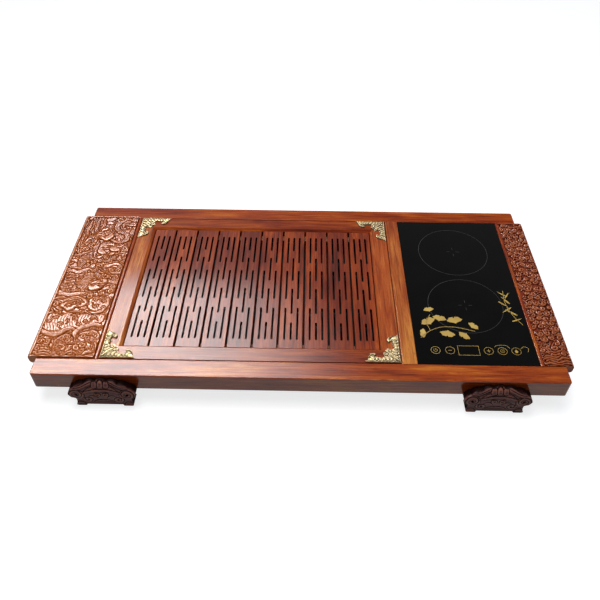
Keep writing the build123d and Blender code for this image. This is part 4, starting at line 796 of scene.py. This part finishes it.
# ---------------- feet
# Four scroll brackets carved from thick blocks, stained dark and lacquered. Two big volutes and two small
# inner ones carry an arched band, and three knobs crown the middle. Two screws hold each foot to its rail.
FOOT_DEPTH = 2.6            # depth of the carving, mm
FOOT_VOXEL = 0.9            # mm
RAIL_FACE = -220.0          # front face of the front rail, mm
FOOT_REACH = 17.0           # how far a foot stands out of it, mm
# The lowest stops are painted shade, for the cuts and the faces that lie back towards the rail; the top stop is a
# painted orange glint on the highest crests.
DARK_TONES = ((0.0, "#050202"), (0.28, "#1e0b09"), (0.5, "#553330"), (0.66, "#6b433c"), (0.9, "#8a4a28"))

foot_face = blank(-56, 56, -2, 62, 0.5, 1.0)
for side in (-1, 1):
    turns = np.linspace(0, 4.6 * np.pi, 26)
    radii = 11.6 * (1 - 0.86 * turns / turns[-1])
    ridge(foot_face, [(side * 4, 57), (side * 18, 53), (side * 34, 46), (side * 47, 43), (side * 53, 34)],
          8.0, 1.3, 0.9, lines=2, taper=(0.1, 0.1), depth=0.7)
    ridge(foot_face, [(side * 2, 47), (side * 14, 45), (side * 27, 39)], 5.0, 1.2, 0.8, lines=1)
    ridge(foot_face, [(side * 46, 2), (side * 40, 5), (side * 33, 3)], 7.0, 1.4, 0.8)
    cloud(foot_face, side * 25, 16, 7.0, 0.3 if side > 0 else 2.84, -side, 1.3, 1.1, 0, 1.2)
    ridge(foot_face, list(zip(side * 41 + side * radii * np.cos(turns + 2.2), 31 + radii * np.sin(turns + 2.2))),
          4.3, 1.5, 1.0, taper=(0.2, 0.02), legs=3)
    ridge(foot_face, [(side * 8, 21), (side * 15, 26), (side * 22, 25)], 4.0, 1.2, 0.9, lines=1)
ridge(foot_face, [(-31, 34), (-18, 38.5), (0, 40), (18, 38.5), (31, 34)], 5.0, 1.6, 0.9, lines=1, taper=(0.1, 0.1))
ridge(foot_face, [(-16, 9), (0, 13), (16, 9)], 5.0, 1.3, 0.8, lines=1)
cloud(foot_face, -6, 31, 4.5, 2.6, 1, 1.4, 1.0, 0, 1.0)
cloud(foot_face, 6, 31, 4.5, 0.5, -1, 1.4, 1.0, 0, 1.0)
for x in (-9.5, 0.0, 9.5):
    boss(foot_face, [(x - 4.5, 47), (x, 45.5), (x + 4.5, 47), (x + 4, 53), (x, 56), (x - 4, 53)], 1.6, 1.0, 3)
streaks = np.sin(foot_face["y"] * 1.9 + 2.0 * np.sin(foot_face["x"] * 0.21))
foot_face["h"] = np.clip(foot_face["h"] + 0.08 * streaks, 0, FOOT_DEPTH)


def fine_copy(name, node, voxel, material):
    """A copy of a CAD node, merged and given a mesh fine enough to carve."""
    shape = bmesh.new()
    shape.from_mesh(nodes[node].data)
    bmesh.ops.remove_doubles(shape, verts=shape.verts, dist=0.01 * MM)
    piece = mesh_piece(name, shape, material)
    remesh = piece.modifiers.new("fine", "REMESH")
    remesh.mode = "VOXEL"
    remesh.voxel_size = voxel * MM
    mesh = bpy.data.meshes.new_from_object(piece.evaluated_get(bpy.context.evaluated_depsgraph_get()))
    piece.modifiers.clear()
    piece.data = mesh
    mesh.shade_smooth()
    return piece


def mirrored_to_four(piece, finish, kind, shift, material, body):
    """Four pieces from the one at the front left, which then goes; shift is twice the x of the mirror."""
    for place, across, behind in (("front_left", 1, 1), ("front_right", -1, 1), ("rear_left", 1, -1),
                                  ("rear_right", -1, -1)):
        shape = bmesh.new()
        shape.from_mesh(piece.data)
        bmesh.ops.transform(shape, matrix=Matrix.Diagonal((across, behind, 1, 1)), verts=shape.verts)
        if across < 0:
            bmesh.ops.translate(shape, vec=(shift, 0, 0), verts=shape.verts)
        if across * behind < 0:
            bmesh.ops.reverse_faces(shape, faces=shape.faces)
        copy = mesh_piece(f"{finish}_{kind}_{place}", shape, material)
        copy.data.shade_smooth()
        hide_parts(f"{kind}_{place}")
        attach(copy, body)
    bpy.data.objects.remove(piece)


dark_carving = carved_rosewood("carved rosewood, dark stain", "X", DARK_TONES, (0.5, 0.1, 0.7), 0.3, 0.3)
front_foot = fine_copy("foot_blank", "foot_front_left", FOOT_VOXEL, dark_carving)
foot_low, foot_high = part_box("foot_front_left")
points = points_of(front_foot)
facing = np.array([-vert.normal.y for vert in front_foot.data.vertices])
facing = np.clip((facing - 0.15) / 0.5, 0, 1) * (points[:, 1] < (RAIL_FACE - 0.5) * MM)
u, z = (points[:, 0] - (foot_low[0] + foot_high[0]) / 2) / MM, points[:, 2] / MM
points[:, 1] += facing * (FOOT_DEPTH - height_at(foot_face, u, z)) * MM
# Painted shade: faces that lie back from the front, towards the rail, take a lower crest value and a darker tone the
# farther back they lie.
shaded = np.clip(0.8 - 0.07 * (points[:, 1] / MM - RAIL_FACE + FOOT_REACH), 0.12, 0.8)
set_carving(front_foot, points, shaded + facing * (height_at(hollows(foot_face), u, z) - shaded))
mirrored_to_four(front_foot, "carved", "foot", 0.0, dark_carving, "table")

# ---------------- drain basin and outlet
# A vacuum-formed black ABS tray hangs by its rim under the grid. Its outlet is a moulded spigot with a
# rubber gasket and a nut, and a small stainless strainer lies on it.
for names, finish, tones, grit, bump, rough, settings in (
        # black, and hardly shines
        (("drain_basin",), "ABS sheet, vacuum formed", ((0.3, "#0a0a0b"), (0.7, "#131314")), 0.8, 0.3, 0.55,
         {"Specular_IOR_Level": 0.1}),
        # black, with a fine even tooth
        (("drain_nut", "hob_tub", "cord_gland", "fan_frame", "fan_rotor"),
         "ABS, moulded with a spark-eroded texture", ((0.3, "#141416"), (0.7, "#1d1d20")), 0.5, 0.4, 0.5,
         {"Specular_IOR_Level": 0.45}),
        # milky and smooth
        (("drain_spigot",), "acetal, smooth moulded", ((0.3, "#d8d6cf"), (0.7, "#e6e4dd")), 1.5, 0.05, 0.3, {}),
        # quite dull
        (("drain_gasket",), "EPDM rubber, die cut", ((0.3, "#1a1a1a"), (0.7, "#242424")), 0.6, 0.3, 0.85,
         {"Specular_IOR_Level": 0.3}),
        # a soft even grey
        (("drain_strainer",), "stainless steel sheet, satin", ((0.3, "#a6a6a4"), (0.7, "#bdbdba")), 0.4, 0.15, 0.3,
         {"Metallic": 1.0})):
    dress(plain_finish(finish, tones, grit, bump, rough, **settings), *names)

# ---------------- drain grid
# A mitred rosewood frame with ten slotted boards, each cut from another piece of the log, so their tones
# differ. Two battens underneath keep them level. All of it lifts out to be rinsed.
GRID_TONES = ((0.32, "#481204"), (0.43, "#742608"), (0.53, "#8d380c"), (0.63, "#a54e14"), (0.74, "#6c2206"))
GOLDEN_TONES = ((0.32, "#6c2207"), (0.43, "#903c12"), (0.53, "#aa5620"), (0.63, "#c87d35"), (0.76, "#b4622a"))
REDDER_TONES = ((0.32, "#7a2a0c"), (0.43, "#963e12"), (0.53, "#a84e1c"), (0.63, "#bd6a30"), (0.76, "#a04c20"))
SLAT_TONES = {
    "dark": ((0.34, "#380e04"), (0.44, "#5e1b08"), (0.53, "#75280b"), (0.62, "#87340e"), (0.74, "#4f1606")),
    "middle": ((0.34, "#441205"), (0.44, "#6b2009"), (0.53, "#85300c"), (0.62, "#9b4010"), (0.74, "#601b07")),
    "light": ((0.34, "#4d1606"), (0.44, "#74270a"), (0.53, "#8e370e"), (0.62, "#a54816"), (0.74, "#6b2308"))}
SLAT_ORDER = ("middle", "light", "middle", "middle", "dark", "middle", "light", "middle", "dark", "light")
dress(rosewood("rosewood, front grid rail", "X", GRID_TONES, (1.3, 0.2, 0.9)), "grid_rail_front")
dress(rosewood("rosewood, rear grid rail", "X", GRID_TONES, (2.7, 1.2, 0.4), coat=0.08), "grid_rail_rear")
# The two stiles are paler towards their front ends: painted light.
dress(rosewood("rosewood, left grid stile", "Y", GOLDEN_TONES, (2.3, 0.9, 0.1), painted_front_light=0.1, coat=0.13),
      "grid_stile_left")
dress(rosewood("rosewood, right grid stile", "Y", REDDER_TONES, (0.6, 2.9, 0.7), painted_front_light=0.3), "grid_stile_right")
dress(bare_wood("bare hardwood, battens", "X", (2.3, 0.1, 1.2)), "grid_batten_front", "grid_batten_rear")
# The upright faces of each slat, the walls of its slots, are darkened fully to the line colour: painted shade.
for index, tone in enumerate(SLAT_ORDER):
    dress(rosewood(f"rosewood, {tone} slat {index + 1}", "Y", SLAT_TONES[tone], (0.37 * index, 0.83 * index, 0.2),
                   line="#220904", sides=(0.1, 1.0)), f"slat_{index + 1:02d}")

# ---------------- brass corners
# Cast brass plates in the form of two curled clouds that meet in a leaf, filed up and polished on the
# crests, with dark patina in the hollows. Five small round-headed pins hold each of them.
CORNER_RISE = 2.4           # crest above the flat of the casting, mm
CORNER_VOXEL = 0.42         # mm
MOTTLE = 2.6 * MM           # width of a patch of patina
CASTING_SKIN = 1.1 * MM     # width of a dimple of the cast skin
BRASS_TONES = ((0.0, "#1a150f"), (0.25, "#3f3525"), (0.45, "#60533d"), (0.65, "#7b6c50"), (1.0, "#9e8d6c"))

corner_face = blank(-1, 62, -1, 62, 0.3, 0.5, 0.3)
for swap in (False, True):
    leaves = [([(1.5, 1.8), (30, 2.1), (58, 1.6)], 2.6, 0.8, 0.5, 0)]
    for x, reach, lean in ((9, 11, 8), (15, 12, 6), (21, 10, 7), (27, 7, 6), (33, 6, 5), (39, 8, 6), (45, 9, 6)):
        leaves.append(([(x, 2.6), (x + 0.2 * lean, 2.6 + 0.6 * reach), (x + lean, 2.6 + reach)], 5.6, 0.9, 1.0, 1))
    leaves += [([(56, 4), (55, 9), (51.5, 14.5), (45.5, 17), (41, 15), (41.5, 11.5), (45, 11)], 4.4, 1.3, 1.0, 1),
               ([(30, 9.5), (34, 11.5), (37, 10)], 3.0, 1.2, 0.7, 0)]
    for path, width, level, rise, lines in leaves:
        ridge(corner_face, [(b, a * 1.05) if swap else (a, b) for a, b in path], width, level, rise, lines,
              taper=(0.2, 0.3), depth=0.5)
ridge(corner_face, [(3, 3), (10, 10), (17, 17), (24, 24.5)], 6.0, 1.4, 1.0, lines=1, taper=(0.3, 0.35), depth=0.5)
for x, y in ((16, 22), (22, 16)):
    eye(corner_face, x, y * 1.02, 2.7, 1.3, 0.9)
corner_face["h"] = np.clip(corner_face["h"], 0, CORNER_RISE)

# The metal is bright but soft on the crests and nearly black in the hollows, with a mottled patina.
brass, brass_tree = new_material("cast brass, polished on the crests")
brass_crest = add_node(brass_tree, "Attribute", output="Fac", attribute_name="crest")
brass_place = add_node(brass_tree, "TexCoord", output="Object")
mottle = add_node(brass_tree, "TexNoise", (brass_place, 1 / MOTTLE, 3.0))
casting = add_node(brass_tree, "TexNoise", (brass_place, 1 / CASTING_SKIN, 2.0))
mottled = add_node(brass_tree, "MapRange", (mottle, 0.3, 0.7, -0.22, 0.22))
patina = add_node(brass_tree, "Math", (brass_crest, mottled))
surface(brass_tree, Metallic=0.5, Specular_IOR_Level=0.1,
        Base_Color=add_node(brass_tree, "ValToRGB", (patina,), tones=BRASS_TONES),
        Roughness=add_node(brass_tree, "MapRange", (brass_crest, 0, 1, 0.7, 0.34)),
        Normal=add_node(brass_tree, "Bump", {"Height": casting, "Strength": 0.25, "Distance": TOOTH_DEPTH}))

front_corner = fine_copy("corner_blank", "corner_front_left", CORNER_VOXEL, brass)
corner_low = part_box("corner_front_left")[0]
grid_low, grid_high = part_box("grid_rail_front")
points = points_of(front_corner)
upward = np.clip((np.array([vert.normal.z for vert in front_corner.data.vertices]) - 0.3) / 0.4, 0, 1)
u, v = (points[:, 0] - corner_low[0]) / MM, (points[:, 1] - corner_low[1]) / MM
points[:, 2] += upward * height_at(corner_face, u, v) * MM
set_carving(front_corner, points, 0.3 + upward * (height_at(hollows(corner_face, 24), u, v) * 1.1 - 0.3))
mirrored_to_four(front_corner, "brass", "corner", grid_low[0] + grid_high[0], brass, "drain_grid")
# The pins are yellower and smoother than the castings.
dress(plain_finish("brass pins, turned", ((0.3, "#94804a"), (0.7, "#bda466")), 1.0, 0.1, 0.35, Metallic=0.7),
      "corner_pins")

# ---------------- hob glass
# Black glass ceramic with polished edges. The print on it is fired enamel: gold ginkgo leaves and bamboo,
# a ring round each zone, five touch keys and a frame round the display.
PRINT_THICKNESS = 0.05      # mm
KEY_ROW = -155.1            # y of the middle of the keys, mm
KEYS = (-67, -43, 21, 44, 67)           # and their x from the middle of the glass
ZONES = (-50.0, 94.5)       # y of the middles of the two zones, mm
WIPE = 45 * MM              # width of a smear of the last wiping
GOLD_TONES = ((0.3, "#a07c24"), (0.6, "#b8953a"), (0.8, "#c9a850"))
GREY_TONES = ((0.3, "#0d0d0e"), (0.7, "#131314"))

# The glass is near black and mirror smooth, with a faint smear from wiping.
glass, glass_tree = new_material("glass ceramic, black, polished")
glass_place = add_node(glass_tree, "TexCoord", output="Object")
wiped = add_node(glass_tree, "TexNoise", (glass_place, 1 / WIPE, 3.0))
surface(glass_tree, Specular_IOR_Level=0.04,
        Base_Color=add_node(glass_tree, "ValToRGB", (wiped,), tones=((0.3, "#020202"), (0.7, "#050505"))),
        Roughness=add_node(glass_tree, "MapRange", (wiped, 0, 1, 0.03, 0.10)),
        Normal=add_node(glass_tree, "Bump", {"Height": wiped, "Strength": 0.02, "Distance": 1.0 * MM}))
dress(glass, "hob_glass")

glass_low, glass_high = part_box("hob_glass")
hob_middle = (glass_low[0] + glass_high[0]) / 2
gold_print, grey_print = bmesh.new(), bmesh.new()


def print_patch(outline, segments, place, size, turn):
    """A flat patch of gold: outline(turn about its middle) gives its (x, y) in units of its size."""
    ring = bmesh.ops.create_circle(gold_print, cap_ends=True, segments=segments, radius=1)["verts"]
    for vert in ring:
        x, y = outline(math.atan2(vert.co.x, vert.co.y))
        c, s = math.cos(turn), math.sin(turn)
        vert.co = (hob_middle + (place[0] + size * (x * c - y * s)) * MM,
                   (place[1] + size * (x * s + y * c)) * MM, glass_high[2])


def print_line(points, width, shape=gold_print):
    """A thin printed line along a smooth curve, in mm from the middle of the glass."""
    path = curve_through(points, 6)
    steps = np.gradient(path, axis=0)
    steps /= np.hypot(steps[:, 0], steps[:, 1])[:, None]
    strip = bmesh.ops.create_grid(shape, x_segments=len(path) - 1, y_segments=1, size=0.5)["verts"]
    for vert in strip:
        k = round((vert.co.x + 0.5) * (len(path) - 1))
        side = width / 2 if vert.co.y > 0 else -width / 2
        (x, y), (dx, dy) = path[k], steps[k]
        vert.co = (hob_middle + (x - side * dy) * MM, (y + side * dx) * MM, glass_high[2])


def print_ring(place, radius, width, shape=gold_print):
    """A thin printed circle."""
    turns = np.linspace(0, 2 * math.pi, 33)
    print_line([(place[0] + radius * math.cos(a), place[1] + radius * math.sin(a)) for a in turns], width, shape)


def ginkgo(a):
    """A fan with a wavy edge and a cleft in the middle."""
    fan = min(max((1.45 - abs(a)) / 0.25, 0), 1)
    r = 0.10 + 0.90 * fan * (1 + 0.05 * math.cos(11 * a) - 0.34 * math.exp(-(a / 0.10) ** 2))
    return r * math.sin(a), r * math.cos(a)


def bamboo(a):
    """A narrow leaf with a sharp tip."""
    return 0.13 * math.sin(a) * (1 - 0.5 * math.cos(a)), math.cos(a)


def drop(a):
    """A drop of water, point upwards."""
    return 0.7 * math.sin(a) * (1 - 0.8 * max(math.cos(a), 0)), math.cos(a)


print_line([(-88, -128), (-70, -112), (-48, -103), (-22, -104), (6, -112)], 0.9)
print_line([(-70, -112), (-74, -92), (-66, -74)], 0.7)
for x, y, size, turn in ((-68, -96, 15, 0.5), (-52, -88, 13, -0.3), (-40, -112, 14, 2.9), (-24, -93, 15, 0.15),
                         (-10, -118, 12, 2.4), (-78, -118, 11, 1.5), (2, -103, 11, -0.8), (-66, -66, 10, 0.2)):
    print_patch(ginkgo, 44, (x, y), size, turn)
print_line([(92, -96), (78, -70), (72, -40), (74, -12)], 0.9)
for x, y, size, turn in ((78, -66, 12, 0.9), (72, -60, 11, 2.2), (74, -36, 11, 0.6), (68, -46, 10, -2.3),
                         (79, -24, 9, -0.6), (84, -84, 10, -1.2), (70, -20, 9, 0.9)):
    print_patch(bamboo, 20, (x, y), size, turn)
for x in KEYS:
    print_ring((x, KEY_ROW), 7.6, 0.6)
for x0, y0, x1, y1 in ((-29.5, 10, 5.5, 10), (-29.5, -10, 5.5, -10), (-29.5, -10, -29.5, 10), (5.5, -10, 5.5, 10)):
    print_line([(x0, KEY_ROW + y0), (x1, KEY_ROW + y1)], 0.7)
# icons: power, minus, plus, a clock and a drop
print_line([(KEYS[0] + 3 * math.sin(a), KEY_ROW - 3 * math.cos(a)) for a in np.linspace(-2.5, 2.5, 9)], 0.6)
for x0, y0, x1, y1, width in ((-67, 0.5, -67, 4.0, 0.6), (-46, 0, -40, 0, 0.8), (18, 0, 24, 0, 0.8),
                              (21, -3, 21, 3, 0.8)):
    print_line([(x0, KEY_ROW + y0), (x1, KEY_ROW + y1)], width)
print_ring((KEYS[3], KEY_ROW), 3.2, 0.5)
print_line([(44, KEY_ROW + 2.0), (44, KEY_ROW), (45.6, KEY_ROW)], 0.5)
print_patch(drop, 20, (KEYS[4], KEY_ROW), 3.8, 0.0)
print_line([(32, -147), (37, -143), (52, -143), (57, -149)], 0.7)
print_line([(75, -150), (82, -145), (88, -149), (86, -156)], 0.7)
for y in ZONES:
    print_ring((0, y), 66.0, 0.5, grey_print)
    for turn in range(4):
        c, s = math.cos(math.pi / 2 * turn), math.sin(math.pi / 2 * turn)
        print_line([(6 * c, y + 6 * s), (12 * c, y + 12 * s)], 0.5, grey_print)
# Fired enamel stands a hair above the glass and shines less than it.
for name, shape, tones, layers in (("hob_gold_print", gold_print, GOLD_TONES, 1.0),
                                   ("hob_zone_print", grey_print, GREY_TONES, 0.8)):
    raised = bmesh.ops.extrude_face_region(shape, geom=list(shape.faces))["geom"]
    bmesh.ops.translate(shape, vec=(0, 0, PRINT_THICKNESS * layers * MM),
                        verts=[item for item in raised if isinstance(item, bmesh.types.BMVert)])
    bmesh.ops.recalc_face_normals(shape, faces=shape.faces)
    enamel = plain_finish(name.replace("_", " ") + ", fired enamel", tones, 0.9, 0.1, 0.3, Specular_IOR_Level=0.4)
    marks = mesh_piece(name, shape, enamel)
    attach(marks, "hob")

# ---------------- inside the hob
# Under the glass: enamelled litz wire wound flat on glass-filled nylon carriers, ferrite bars, an epoxy
# board with its heat sink and capacitors, the touch board and a fan, on nylon posts in a moulded tub.
WIRE_PITCH = 3.1            # mm between two turns of the coil
# The darkest stop is painted shade in the grooves between the turns.
WIRE_TONES = ((0.0, "#3a1a0c"), (0.3, "#a55a2c"), (0.8, "#d0844a"))
coil_low, coil_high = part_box("coils")
coil_radius = (coil_high[0] - coil_low[0]) / 2

# The turns of both coils show as fine round grooves between bright copper strands; the grooves are darkened with
# painted shade.
coil_wire, wire_tree = new_material("enamelled copper litz wire, wound flat")
apart = add_node(wire_tree, "SeparateXYZ", (add_node(wire_tree, "TexCoord", output="Object"),))
sideways = add_node(wire_tree, "Math", (apart, hob_middle), operation="SUBTRACT")
from_middle = add_node(wire_tree, "Math", (apart.node.outputs["Y"], (coil_low[1] + coil_high[1]) / 2),
                       operation="SUBTRACT")
either_coil = add_node(wire_tree, "Math", (from_middle,), operation="ABSOLUTE")
lengthways = add_node(wire_tree, "Math", (either_coil, (coil_high[1] - coil_low[1]) / 2 - coil_radius),
                      operation="SUBTRACT")
spread = add_node(wire_tree, "CombineXYZ", (sideways, lengthways))
reach = add_node(wire_tree, "VectorMath", (spread,), operation="LENGTH")
turns = add_node(wire_tree, "Math", (reach, WIRE_PITCH * MM), operation="DIVIDE")
strand = add_node(wire_tree, "Math", (turns, 1.0), operation="PINGPONG")
surface(wire_tree, Metallic=0.7, Roughness=0.4,
        Base_Color=add_node(wire_tree, "ValToRGB", (strand,), tones=WIRE_TONES),
        Normal=add_node(wire_tree, "Bump", {"Height": strand, "Strength": 0.8, "Distance": 1.2 * MM}))
dress(coil_wire, "coils")
for names, finish, tones, grit, bump, rough, settings in (
        # dark grey and dull
        (("tub_posts", "coil_carriers"), "nylon, glass filled", ((0.3, "#1c1c1e"), (0.7, "#2a2a2c")), 0.7, 0.3, 0.6,
         {"Specular_IOR_Level": 0.4}),
        # dark grey and matt, like stoneware
        (("ferrite_bars",), "ferrite, pressed and fired", ((0.3, "#2b2b2e"), (0.7, "#3a3a3d")), 0.6, 0.3, 0.7, {}),
        # a shining green
        (("power_board", "touch_board"), "glass epoxy board, green solder mask",
         ((0.35, "#0e3a1c"), (0.65, "#1a5a2c")), 2.5, 0.2, 0.35, {}),
        # pale and satin
        (("heat_sink",), "aluminium, extruded and etched", ((0.3, "#b4b5b7"), (0.7, "#cfd0d1")), 0.5, 0.15, 0.42,
         {"Metallic": 1.0}),
        # smooth and blue
        (("filter_capacitors",), "shrink sleeve, dark blue PVC", ((0.3, "#14162a"), (0.7, "#1f2340")), 3.0, 0.1, 0.3,
         {})):
    dress(plain_finish(finish, tones, grit, bump, rough, **settings), *names)
